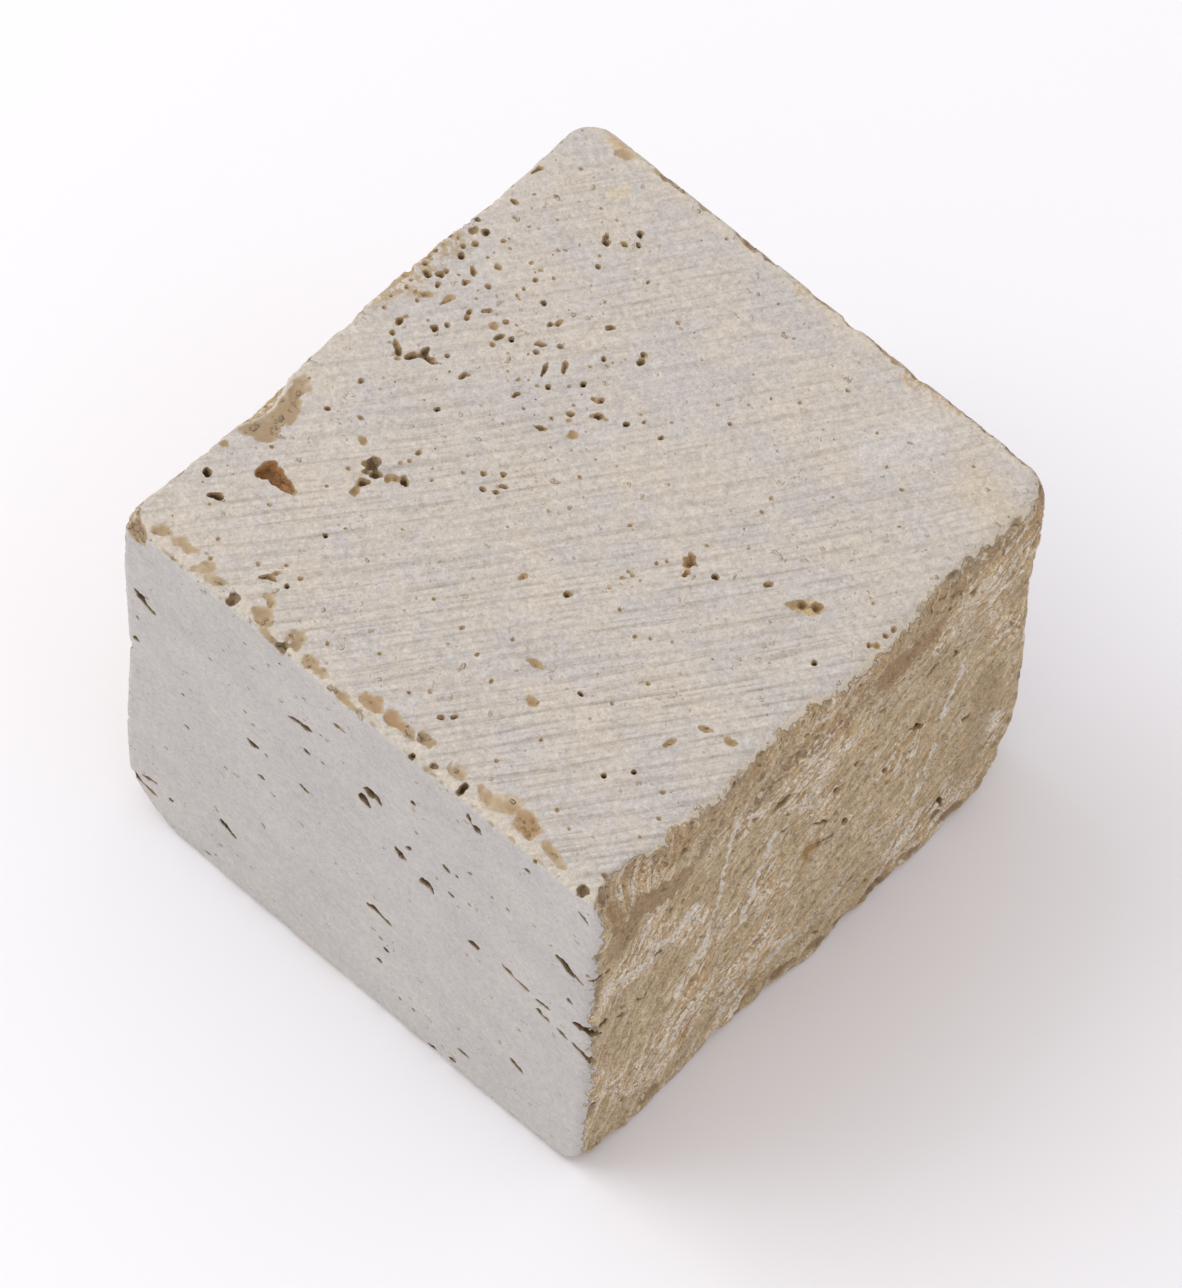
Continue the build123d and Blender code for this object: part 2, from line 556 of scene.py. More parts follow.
FRONT_PORES = dots(
    1.2, 1.3,
    (506.3, 1157.8), (566.6, 1135.6), (546.8, 1147.4), (671.6, 1253.6), (659.6, 1276.2), (612.6, 1179.4),
    (614.7, 1159.2), (613.6, 1138.4), (491.0, 1085.4), (602.4, 1225.4), (599.6, 1230.2), (632.0, 1200.8),
    (666.2, 1189.8), (684.8, 1248.6), (632.8, 1275.4), (631.8, 1280.2),
    hue=-0.5,
) + dots(
    0.8, 0.7,
    (491.2, 1075.6), (523.8, 1094.4), (543.0, 1124.0), (548.8, 1137.6), (528.6, 1178.4), (511.6, 1110.4),
    (616.0, 1172.4), (600.0, 1220.0), (608.8, 1247.4), (614.8, 1252.6), (640.0, 1191.0), (634.2, 1192.4),
    (657.2, 1207.4), (650.2, 1201.8), (693.0, 1237.6), (669.2, 1185.6), (547.4, 1169.0), (565.6, 1112.0),
    (574.0, 1141.0), (530.4, 1143.0), (640.0, 1205.0),
)
FRONT_PITS = (
    slits(2.1, 2.2, (592.4, 1156.2, 593.4, 1158.6), (682.0, 1231.2, 685.0, 1235.0), hue=-0.6)
    + slits(1.6, 1.6, (594.6, 1153.8, 595.4, 1156.0), hue=-0.5)
)
END_PITS = slits(
    1.1, 1.8,
    (837.2, 1126.4, 846.6, 1121.0), (776.5, 1163.4, 783.9, 1156.0), (797.4, 1177.6, 803.0, 1173.6),
    (851.0, 1157.0, 851.8, 1160.0), (847.6, 1165.6, 849.4, 1163.4), (861.8, 1121.8, 864.2, 1119.6),
    (857.6, 1089.6, 862.4, 1087.2), (694.6, 1239.6, 699.0, 1237.4), (708.0, 1217.0, 711.6, 1215.0),
    (716.6, 1248.2, 719.2, 1245.6), (698.8, 1259.8, 701.0, 1257.6), (723.0, 1229.0, 726.4, 1226.4),
    (707.6, 1255.4, 711.0, 1252.6), (795.0, 1168.6, 800.0, 1167.6),
) + dots(
    1.1, 1.2,
    (822.0, 1134.4), (764.0, 1189.6), (808.6, 1167.0), (814.0, 1142.0), (826.6, 1144.0), (858.0, 1091.6),
    (804.0, 1153.0), (757.0, 1170.0), (786.0, 1156.0),
)
ARRIS_CRUMBS = dots(
    1.0, 0.8,
    (759.4, 1161.6), (766.0, 1162.4), (768.4, 1166.6), (759.0, 1151.0), (788.0, 1136.6), (791.4, 1128.8),
    (796.0, 1129.4), (809.0, 1115.6), (830.0, 1081.0), (826.6, 1083.6), (823.0, 1088.0), (819.0, 1087.6),
    (740.4, 1190.6), (736.6, 1203.6), (857.0, 1066.0), (856.0, 1072.0), (777.6, 1141.0), (773.0, 1154.6),
    (807.6, 1134.0), (798.6, 1124.0),
)
SEEN_PORES = (
    BLACK_HOLES + PORES_BY_REAR_END + WIDER_PORES + TAN_PORES + FAINT_PORES + TOP_SLITS + TAN_SLITS
    + TWIN_PITS + RING_BY_REAR_END + CLUSTER_BY_LEFT + RUSTY_PIT + OCHRE_PORES + FRONT_SLITS
    + FRONT_PORES + FRONT_PITS + END_PITS + ARRIS_CRUMBS
)

BOOT_CHIP = slits(3.8, 0.6, (540.5, 989.6, 549.0, 991.0), hue=-0.3) + slits(
    3.9, 0.6, (550.6, 989.6, 559.0, 978.6), (557.0, 981.4, 564.6, 970.6), hue=-0.2
)
LEFT_CORNER_CHIP = slits(3.6, 0.6, (491.0, 1032.0, 492.6, 1042.0), hue=-0.2)
FRONT_ARRIS_CHIPS = (
    slits(
        1.9, 0.5,
        (500.0, 1035.4, 504.6, 1036.8), (508.4, 1040.6, 516.0, 1045.0), (518.6, 1053.2, 525.6, 1053.4),
        (523.0, 1057.4, 528.0, 1059.6), (550.4, 1066.0, 551.6, 1069.0), (564.8, 1084.4, 559.4, 1083.6),
        (561.6, 1088.0, 563.0, 1087.0), (548.4, 1082.4, 552.4, 1087.6), (566.6, 1093.6, 570.6, 1096.6),
        (571.4, 1097.4, 575.4, 1101.0), (581.2, 1108.4, 586.0, 1115.6), (618.6, 1129.0, 622.0, 1131.6),
        (633.0, 1143.8, 636.0, 1146.8), (645.0, 1152.6, 649.0, 1158.0), (674.0, 1177.0, 681.0, 1186.4),
        (611.0, 1125.0, 613.4, 1128.0),
    )
    + slits(2.8, 0.6, (544.6, 1072.4, 549.4, 1075.8))
    + slits(2.6, 0.6, (594.4, 1112.6, 598.6, 1115.2), (604.0, 1119.8, 608.6, 1123.2), hue=0.35)
    + slits(2.8, 0.4, (652.4, 1159.4, 659.0, 1161.0), hue=-0.1)
    + slits(3.2, 0.6, (664.0, 1166.0, 668.6, 1170.6), hue=0.5)
)
DARK_ARRIS_PITS = dots(1.8, 1.6, (555.5, 1089.0), (691.0, 1198.2), (534.2, 1067.4), hue=-0.8) + dots(
    1.2, 1.0, (624.0, 1142.0), (619.2, 1129.2), (701.6, 1192.2), hue=-0.5
)
FRONT_CORNER_SPALL = slits(2.2, 0.6, (703.0, 1224.0, 708.0, 1226.6), hue=0.1)
RIGHT_ARRIS_CHIPS = slits(
    1.1, 0.4,
    (883.0, 1034.6, 887.0, 1031.0), (852.0, 1060.0, 858.0, 1055.0), (866.0, 1056.0, 874.0, 1049.0),
    (770.0, 1148.0, 775.0, 1143.6), (744.0, 1168.0, 751.0, 1162.0), (756.0, 1156.0, 761.0, 1151.0),
    hue=-0.3,
)
REAR_CHIPS = slits(1.6, 0.5, (645.6, 889.4, 649.4, 882.4), (707.0, 867.0, 711.0, 868.6))
SEEN_CHIPS = (
    BOOT_CHIP + LEFT_CORNER_CHIP + FRONT_ARRIS_CHIPS + DARK_ARRIS_PITS + FRONT_CORNER_SPALL
    + RIGHT_ARRIS_CHIPS + REAR_CHIPS
)

TOP_STAINS = (
    Stain((704.6, 886.4), (709.0, 884.0), 2.2, (206, 190, 158), 0.7, 0.9),
    Stain((590.0, 936.0), (606.0, 926.0), 4.0, (176, 154, 124), 0.85, 1.2, True),
    Stain((612.0, 926.0), (632.0, 906.0), 4.6, (176, 154, 124), 0.85, 1.4, True),
    Stain((704.0, 861.0), (711.0, 867.0), 2.0, (192, 164, 128), 0.8, 0.8),
    Stain((786.0, 926.0), (800.0, 935.0), 1.6, (184, 160, 128), 0.8, 0.6, True),
    Stain((836.0, 967.0), (858.0, 982.0), 2.2, (186, 159, 124), 0.9, 0.8, True),
    Stain((866.0, 1012.0), (884.0, 1036.0), 7.0, (203, 186, 162), 0.5, 3.0),
    Stain((822.0, 1000.0), (846.0, 992.0), 7.0, (204, 199, 195), 0.5, 3.5),
    Stain((650.0, 1158.0), (660.0, 1159.4), 2.6, (194, 170, 138), 0.8, 0.6),
    Stain((663.0, 1168.0), (668.6, 1171.0), 2.6, (168, 134, 96), 0.7, 0.7),
    Stain((789.4, 1071.0), (794.6, 1071.6), 2.2, (190, 162, 108), 0.8, 0.4),
)
END_STAINS = (
    Stain((709.0, 1221.0), (718.0, 1206.0), 7.0, (168, 144, 113), 0.95, 0.4),
    Stain((720.0, 1205.0), (733.0, 1195.0), 7.0, (165, 141, 110), 0.95, 0.4),
    Stain((704.6, 1208.0), (705.6, 1228.0), 2.6, (172, 145, 112), 0.9, 0.4),
    Stain((848.0, 1082.0), (828.0, 1102.0), 6.0, (164, 137, 106), 0.95, 1.0),
    Stain((822.0, 1108.0), (798.0, 1132.0), 5.0, (162, 136, 108), 0.9, 1.4, True),
    Stain((788.0, 1138.0), (768.0, 1160.0), 4.4, (150, 128, 104), 0.9, 1.4, True),
    Stain((752.0, 1170.0), (744.0, 1182.0), 3.6, (160, 137, 110), 0.9, 1.0, True),
    Stain((884.0, 1036.0), (860.0, 1058.0), 5.0, (160, 137, 108), 0.95, 1.0, True),
    Stain((868.0, 1064.0), (860.0, 1082.0), 4.4, (212, 198, 176), 0.9, 0.8, True),
    Stain((872.0, 1104.0), (862.0, 1144.0), 6.4, (180, 158, 128), 0.8, 1.6),
    Stain((791.4, 1181.4), (796.4, 1177.0), 1.8, (152, 118, 62), 0.8, 0.6),
) + veins(
    1.0, 0.95,
    ((733.0, 1247.0), (746.0, 1222.0), (754.0, 1196.0), (761.0, 1166.0)),
    ((759.0, 1216.0), (767.0, 1199.0), (778.0, 1172.0)),
    ((752.0, 1254.0), (780.0, 1223.0), (806.0, 1198.0)),
    ((853.0, 1120.0), (862.0, 1094.0)),
    ((834.0, 1168.0), (849.0, 1134.0)),
) + veins(1.5, 0.8, ((704.0, 1242.0), (722.0, 1229.0), (742.0, 1206.0)))


class Face(Enum):
    """The block's six faces, each by the way that it faces."""

    TOP = (0, 0, 1)
    BED = (0, 0, -1)
    SIDE_FRONT = (0, -1, 0)
    SIDE_REAR = (0, 1, 0)
    END_FRONT = (1, 0, 0)
    END_REAR = (-1, 0, 0)

    def out(self) -> Vector:
        """The way that it faces."""
        return Vector(self.value)


SIDES = (Face.SIDE_FRONT, Face.SIDE_REAR)
ENDS = (Face.END_FRONT, Face.END_REAR)


@dataclass(frozen=True)
class Plug:
    """The stone that is missing from one hollow, as a lumpy ball.

    It lies along one way and faces another, with half its size each way and its hue.
    """

    centre: Vector
    along: Vector
    facing: Vector
    half: tuple[float, float, float]
    hue: float


@dataclass(frozen=True)
class Rim:
    """How ragged a mouth is: how many nicks it has at least and more for each mm, and their sizes.

    A nick's width and depth are drawn as shares of the mouth's, and it is so many times as long as wide.
    """

    least: float
    more: float
    width: tuple[float, float]
    depth: tuple[float, float]
    stretch: tuple[float, float] = (1.0, 1.5)


CHIP_RIM = Rim(2.5, 0.6, (0.3, 0.6), (0.5, 1.0))
PORE_RIM = Rim(0.6, 1.3, (0.4, 0.8), (0.25, 0.7))


@dataclass(frozen=True)
class Mouth:
    """The mouth of a hollow in mm, how deep it goes, whether it is a flat chip or a pore, and its hue."""

    length: float
    width: float
    depth: float
    chip: bool
    hue: float = 0.0

    def plug(self, place: Vector, along: Vector, facing: Vector) -> Plug:
        """The plug that opens this mouth: half a ball for a pore, the cap of a flat ball for a chip.

        Args:
            place: The mouth's middle, on the surface.
            along: The way that it is longest.
            facing: The way that the surface faces.

        Returns:
            The plug.
        """
        if not self.chip:
            half = (self.length * PORE_SHARE, self.width * PORE_SHARE, self.depth)
            return Plug(place, along, facing, half, self.hue)
        cap = math.sqrt(3) / 2
        half = (self.length / 2 / cap, self.width / 2 / cap, 2 * self.depth)
        return Plug(place + facing * self.depth, along, facing, half, self.hue)

    def nicks(self, draw: random.Random) -> list["Mouth"]:
        """Smaller mouths for this one's rim, which are shallower round a pore.

        Args:
            draw: What their number and sizes are drawn from.

        Returns:
            The mouths.
        """
        rim = CHIP_RIM if self.chip else PORE_RIM
        made = []
        for _ in range(round(rim.least + self.length * rim.more)):
            width = self.width * draw.uniform(*rim.width)
            depth = self.depth * draw.uniform(*rim.depth)
            made.append(Mouth(width * draw.uniform(*rim.stretch), width, depth, self.chip, self.hue))
        return made


@dataclass(frozen=True)
class Skin:
    """A closed surface in mm that rays can be cast at."""

    tree: BVHTree
    middle: Vector
    reach: float

    @classmethod
    def of(cls, mesh: bmesh.types.BMesh, block_box: tuple[Vector, Vector]) -> "Skin":
        """The surface of a mesh that lies in the block's box."""
        middle = (block_box[0] + block_box[1]) / 2
        return cls(BVHTree.FromBMesh(mesh), middle, (block_box[1] - middle).length)

    def touched(self, origin: Vector, way: Vector) -> Vector:
        """Where a ray meets the surface, or the surface's nearest point to a ray that passes it.

        Args:
            origin: Where it starts.
            way: Where it goes.

        Returns:
            The point.
        """
        point = self.tree.ray_cast(origin, way)[0]
        if point is None:
            abreast = way.dot(self.middle - origin)
            steps = math.ceil(self.reach)
            passed = [origin + way * (abreast + step) for step in range(-steps, steps + 1)]
            point = min((self.tree.find_nearest(place) for place in passed), key=lambda near: near[3])[0]
        return point

    def nearest(self, place: Vector) -> tuple[Vector, Vector]:
        """The surface's nearest point to a place and the way that it faces there."""
        return self.tree.find_nearest(place)[:2]


@dataclass(frozen=True)
class Block:
    """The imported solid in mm, which carries everything that is placed on it."""

    mesh: bpy.types.Mesh
    skin: Skin
    low: Vector
    high: Vector

    @classmethod
    def from_frame(cls) -> "Block":
        """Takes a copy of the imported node's mesh, with its loose triangles merged.

        Returns:
            The block.
        """
        merged = bmesh.new()
        merged.from_mesh(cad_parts[NODE].data)
        bmesh.ops.remove_doubles(merged, verts=merged.verts, dist=SAME_PLACE)
        merged.transform(Matrix.Scale(METRE, 4))
        mesh = bpy.data.meshes.new("block")
        merged.to_mesh(mesh)
        low, high = (corner * METRE for corner in cad_box)
        skin = Skin.of(merged, (low, high))
        merged.free()
        return cls(mesh, skin, low, high)

    def middle(self) -> Vector:
        """The middle of its box."""
        return (self.low + self.high) / 2

    def half(self) -> Vector:
        """Half its size each way."""
        return (self.high - self.low) / 2


@dataclass(frozen=True)
class Placer:
    """Turns pixels and random draws into plugs that sit on the roughened block, square to the smooth one.

    A slit that is longer than so many times its width is wide for a share of its length and narrow
    elsewhere. The layers' square leans by so much in X and in Y.
    """

    block: Block
    ground: Skin
    photo: Photo
    lean: tuple[float, float] = (0.18, -0.36)
    long_slit: float = 1.5
    wide_share: float = 0.35
    wide_shift: float = 0.3
    narrow: float = 0.62
    nick_reach: tuple[float, float] = (0.6, 1.0)

    def seen(self, hollows: tuple[Hollow, ...], chips: bool, seed: int) -> list[Plug]:
        """The plugs of hollows that the photograph shows.

        Args:
            hollows: The hollows, by their pixels.
            chips: Whether they are chips, and not pores.
            seed: What their ragged rims are drawn from.

        Returns:
            The plugs, where the pixels lie on the block.
        """
        draw = random.Random(seed)
        eye = Vector(self.photo.eye)
        made = []
        for hollow in hollows:
            rays = (self.photo.ray(pixel) for pixel in (hollow.start, hollow.end))
            first, last = (self.ground.touched(eye, ray) for ray in rays)
            facing = (self.block.skin.nearest(first)[1] + self.block.skin.nearest(last)[1]).normalized()
            run = last - first
            along = run.normalized() if run.length > POINT else self.bedding(facing)
            middle = (first + last) / 2
            mouth = Mouth(run.length + hollow.width, hollow.width, hollow.depth, chips, hollow.hue)
            if not chips and run.length > self.long_slit * hollow.width:
                wide = replace(mouth, length=run.length * self.wide_share + hollow.width)
                off = run * draw.uniform(-self.wide_shift, self.wide_shift)
                made += self.ragged(wide, middle + off, along, facing, draw)
                mouth = replace(mouth, width=hollow.width * self.narrow)
            made += self.ragged(mouth, middle, along, facing, draw)
        return made

    def ragged(
        self, mouth: Mouth, place: Vector, along: Vector, facing: Vector, draw: random.Random
    ) -> list[Plug]:
        """The plug of one mouth, with smaller ones round its rim.

        Args:
            mouth: The mouth.
            place: Its middle, on the surface.
            along: The way that it is longest.
            facing: The way that the surface faces.
            draw: What the rim is drawn from.

        Returns:
            All the plugs.
        """
        across = facing.cross(along).normalized()
        made = [mouth.plug(place, along, facing)]
        for nick in mouth.nicks(draw):
            turn = draw.uniform(0.0, math.tau)
            reach = draw.uniform(*self.nick_reach) / 2
            lengthwise = along * math.cos(turn) * mouth.length * reach
            crosswise = across * math.sin(turn) * mouth.width * reach
            spot = self.ground.nearest(place + (lengthwise + crosswise))[0]
            out = self.block.skin.nearest(spot)[1]
            made.append(nick.plug(spot, along, (facing + out).normalized()))
        return made

    def bedding(self, facing: Vector) -> Vector:
        """The way that the layers run on a surface.

        Args:
            facing: The way that the surface faces.

        Returns:
            The way, which is along X where the surface lies in a layer.
        """
        level = Vector((*self.lean, 1.0)).normalized()
        run = level.cross(facing)
        return run.normalized() if run.length > SAME_WAY else Vector((1.0, 0.0, 0.0))


@dataclass(frozen=True)
class Scatter:
    """Pores, slits and pits on one face that the photograph hides or shows only as specks.

    They lie anywhere on the face, or thick round a spot that is given as shares of the block's half sizes.
    They are so many times as long and as deep as wide, and most of them are nearer the least width.
    """

    face: Face
    count: int
    width: tuple[float, float]
    stretch: tuple[float, float]
    deep: float
    seed: int
    spot: tuple[float, float, float] | None = None
    spread: float = 0.2
    rim: float = 0.95
    small: int = 2
    stray: float = 0.35

    def plugs(self, placer: Placer) -> list[Plug]:
        """Draws the plugs.

        Args:
            placer: What sets them on the block.

        Returns:
            The plugs of each pore.
        """
        draw = random.Random(self.seed)
        block = placer.block
        out = self.face.out()
        made = []
        for _ in range(self.count):
            spot = block.middle() + out * 2 * block.half().length
            for axis in range(3):
                anywhere = draw.uniform(-self.rim, self.rim)
                share = draw.gauss(self.spot[axis], self.spread) if self.spot else anywhere
                if not out[axis]:
                    spot[axis] += max(-self.rim, min(self.rim, share)) * block.half()[axis]
            place = placer.ground.touched(spot, -out)
            facing = block.skin.nearest(place)[1]
            width = self.width[0] * (self.width[1] / self.width[0]) ** (draw.random() ** self.small)
            mouth = Mouth(width * draw.uniform(*self.stretch), width, width * self.deep, False)
            stray = Matrix.Rotation(draw.gauss(0.0, self.stray), 3, facing)
            along = (stray @ placer.bedding(facing)).normalized()
            made += placer.ragged(mouth, place, along, facing, draw)
        return made


@dataclass(frozen=True)
class Nibbles:
    """The chips that tumbling left along one arris, where two faces meet.

    Most of them are nearer the least length, and a longer chip is deeper, but not by as much as it is
    longer. The rays that place them start so many mm off the arris.
    """

    faces: tuple[Face, Face]
    count: int
    length: tuple[float, float]
    seed: int
    rim: float = 0.97
    away: float = 14.0
    small: float = 1.6
    deep: float = 0.14
    flatter: float = 0.8
    deeper: float = 0.12
    stray: float = 0.4

    def plugs(self, placer: Placer) -> list[Plug]:
        """Draws the plugs.

        Args:
            placer: What sets them on the block.

        Returns:
            The plugs of each chip.
        """
        draw = random.Random(self.seed)
        half = placer.block.half()
        both = self.faces[0].out() + self.faces[1].out()
        line = self.faces[0].out().cross(self.faces[1].out())
        arris = placer.block.middle() + both * half
        made = []
        for _ in range(self.count):
            spot = arris + line * draw.uniform(-self.rim, self.rim) * abs(half.dot(line)) + both * self.away
            place = placer.ground.touched(spot, -both.normalized())
            length = self.length[0] * (self.length[1] / self.length[0]) ** (draw.random() ** self.small)
            depth = self.deep * length ** self.flatter + draw.uniform(0.0, self.deeper)
            mouth = Mouth(length, length * draw.uniform(0.4, 0.8), depth, True, draw.uniform(-0.6, 0.3))
            facing = (Matrix.Rotation(draw.gauss(0.0, self.stray), 3, line) @ both).normalized()
            made += placer.ragged(mouth, place, line, facing, draw)
        return made


@dataclass(frozen=True)
class Wear:
    """How round the arris between an end and the top or the bed is worn.

    The radius in mm wanders by up to a share of it, in waves that are given by their length and share.
    """

    end: Face
    level: Face
    radius: float
    wander: float
    phase: float
    waves: tuple[tuple[float, float], ...] = ((31.0, 0.5), (13.7, 0.3), (6.1, 0.2))

    def radii(self, along: np.ndarray) -> np.ndarray:
        """The radius along the arris.

        Args:
            along: The places along it.

        Returns:
            The radius at each.
        """
        swing = sum(
            share * np.sin(along * math.tau / length + self.phase * length) for length, share in self.waves
        )
        return self.radius * (1 + self.wander * swing)


@dataclass(frozen=True)
class Bedding:
    """The layers of the stone, which rise towards the rear side and steepen at the front upright.

    The dip and the rise are slopes in X and Y, and the wobble is in mm.
    """

    dip: float = 0.18
    rise: float = 0.42
    steep: float = 2.0
    steep_reach: float = 22.0
    half_width: float = 52.0
    wobble: float = 4.0
    wobbles: Cloud = Cloud(9.0, 2.0, 0.6)
    climb: float = 0.6

    def place(self, graph: Graph, mm: Socket) -> tuple[Socket, Socket]:
        """How far along a layer and how far up through the layers a point lies.

        Args:
            graph: The tree to write in.
            mm: The point.

        Returns:
            Both distances, in mm.
        """
        x, y, z = graph.apart(mm)
        fall = graph.maths("EXPONENT", (y + self.half_width) * (-1.0 / self.steep_reach))
        sway = (graph.cloud(mm, self.wobbles) - 0.5) * self.wobble
        level = z + x * self.dip - y * self.rise + fall * (self.steep * self.steep_reach) + sway
        along = y + z * self.climb + x
        return along, level

    def noise(
        self, place: tuple[Socket, Socket], length: Socket | float, thickness: Socket | float, shift: float
    ) -> Socket:
        """Noise that is drawn out along the layers.

        Args:
            place: How far along a layer and how far up through them a point lies, in mm.
            length: How long its clouds are, in mm.
            thickness: How thick they are, in mm.
            shift: What sets it apart from the others.

        Returns:
            The noise, from 0 to 1.
        """
        along, level = place
        graph = along.graph
        stretched = graph.vector(along * (1.0 / length), level * (1.0 / thickness), shift)
        return graph.noise(stretched, 1.0, 2.0, 0.5)


@dataclass(frozen=True)
class SplitRelief:
    """How rough the split ends are: broad lumps, ledges of the bedding and crumbs, in mm."""

    bedding: Bedding = Bedding()
    lump_size: Socket | float = 15.0
    lump_depth: Socket | float = 2.4
    ledge_length: Socket | float = 9.0
    ledge_thickness: Socket | float = 2.2
    ledge_depth: Socket | float = 0.6
    crumb_size: Socket | float = 1.2
    crumb_depth: Socket | float = 0.9
    ground: Socket | float = 1.3
    fade: Socket | float = 4.5

    def depth(self, graph: Graph, mm: Socket) -> Socket:
        """How deep the surface lies behind the crests, in mm.

        Args:
            graph: The tree to write in.
            mm: The point.

        Returns:
            The depth, not below 0.
        """
        lumps = graph.noise(mm, self.lump_size, 1.0) * self.lump_depth
        ledges = self.ledges(self.bedding.place(graph, mm)) * self.ledge_depth
        crumbs = graph.noise(mm, self.crumb_size, 1.0, 0.6) * self.crumb_depth
        return (lumps + ledges + crumbs - self.ground).most(0.0)

    def ledges(self, place: tuple[Socket, Socket]) -> Socket:
        """The bedding's own share of the relief, from 0 on a ledge to 1 in a groove."""
        return self.bedding.noise(place, self.ledge_length, self.ledge_thickness, 7.0).rise(0.36, 0.6)

    def recipe(self, block: Block, material: bpy.types.Material) -> Recipe:
        """The tree that roughens a block's split ends.

        Args:
            block: Where the sawn planes lie.
            material: What the block is made of.

        Returns:
            The tree, for a dense mesh in metres.
        """
        tree = Recipe("split_relief", material)
        sizes = [item.name for item in fields(self) if item.name != "bedding"]
        labels = [size.replace("_", " ").title() for size in sizes]
        named = [tree.named(label, "Float", getattr(self, size)) for label, size in zip(labels, sizes)]
        wired = replace(self, **dict(zip(sizes, named)))
        facing = tree.node("GeometryNodeInputNormal")
        mm = tree.scaled(tree.node("GeometryNodeInputPosition"), METRE)
        _, y, z = tree.apart(mm)
        sawn = (z - block.low.z).least(block.high.z - z).least(block.high.y - abs(y))
        end = abs(tree.apart(facing)[0]).rise(0.25, 0.8)
        share = end * (0.12 + 0.88 * (sawn / wired.fade).least(1.0))
        offset = tree.scaled(facing, share * wired.depth(tree, mm) * (-1.0 / METRE))
        tree.ends_in(tree.moved(tree.geometry(), offset))
        return tree


@dataclass(frozen=True)
class PlugShop:
    """Makes the meshes of the plugs: a ball on each point, laid and sized as its plug says, and made lumpy.

    The lumps are as wide and as high as so many times the plug's own half width.
    """

    lump_size: float
    lump_height: float
    rounds: int
    flat: float = 0.6

    def recipe(self, material: bpy.types.Material) -> Recipe:
        """The tree that sets the balls.

        Args:
            material: What the balls are made of.

        Returns:
            The tree, for a mesh of points that hold each plug's turn, half sizes and facing.
        """
        tree = Recipe("plugs", material)
        size = tree.named("Lump Size", "Float", self.lump_size)
        height = tree.named("Lump Height", "Float", self.lump_height)
        ball = tree.node("GeometryNodeMeshIcoSphere", None, {"Radius": 1.0, "Subdivisions": self.rounds})
        turn, half, facing = (
            tree.node("GeometryNodeInputNamedAttribute", {"data_type": "FLOAT_VECTOR"}, {"Name": name})
            for name in ("turn", "half", "facing")
        )
        turned = tree.node("FunctionNodeEulerToRotation", None, {"Euler": turn})
        values = {"Points": tree.geometry(), "Instance": ball, "Rotation": turned, "Scale": half}
        balls = tree.node("GeometryNodeInstanceOnPoints", None, values)
        real = tree.node("GeometryNodeRealizeInstances", None, {"Geometry": balls})
        width = tree.apart(half)[1]
        spread = tree.scaled(tree.node("GeometryNodeInputPosition"), tree.maths("DIVIDE", 1.0, width * size))
        shift = tree.scaled(tree.swirl(spread, 1.0, 2.0, 0.5), width * height * 2.0)
        upward = tree.vector_maths("DOT_PRODUCT", shift, facing) * self.flat
        shift = tree.vector_maths("SUBTRACT", shift, tree.scaled(facing, upward))
        tree.ends_in(tree.moved(real, shift))
        return tree

    def made(self, plugs: list[Plug], material: bpy.types.Material) -> bpy.types.Mesh:
        """Makes the plugs.

        Args:
            plugs: The plugs.
            material: What they are made of.

        Returns:
            One mesh of them all, in mm.
        """
        points = bpy.data.meshes.new("points")
        points.vertices.add(len(plugs))
        points.vertices.foreach_set("co", np.array([p.centre for p in plugs], np.float32).ravel())
        turns = []
        for plug in plugs:
            across = plug.facing.cross(plug.along).normalized()
            along = across.cross(plug.facing).normalized()
            turns.append(Matrix((along, across, plug.facing)).transposed().to_euler())
        halves = [plug.half for plug in plugs]
        rows = {"turn": turns, "half": halves, "facing": [plug.facing for plug in plugs]}
        for name, values in rows.items():
            attribute = points.attributes.new(name, "FLOAT_VECTOR", "POINT")
            attribute.data.foreach_set("vector", np.array(values, np.float32).ravel())
        return self.recipe(material).applied(points)


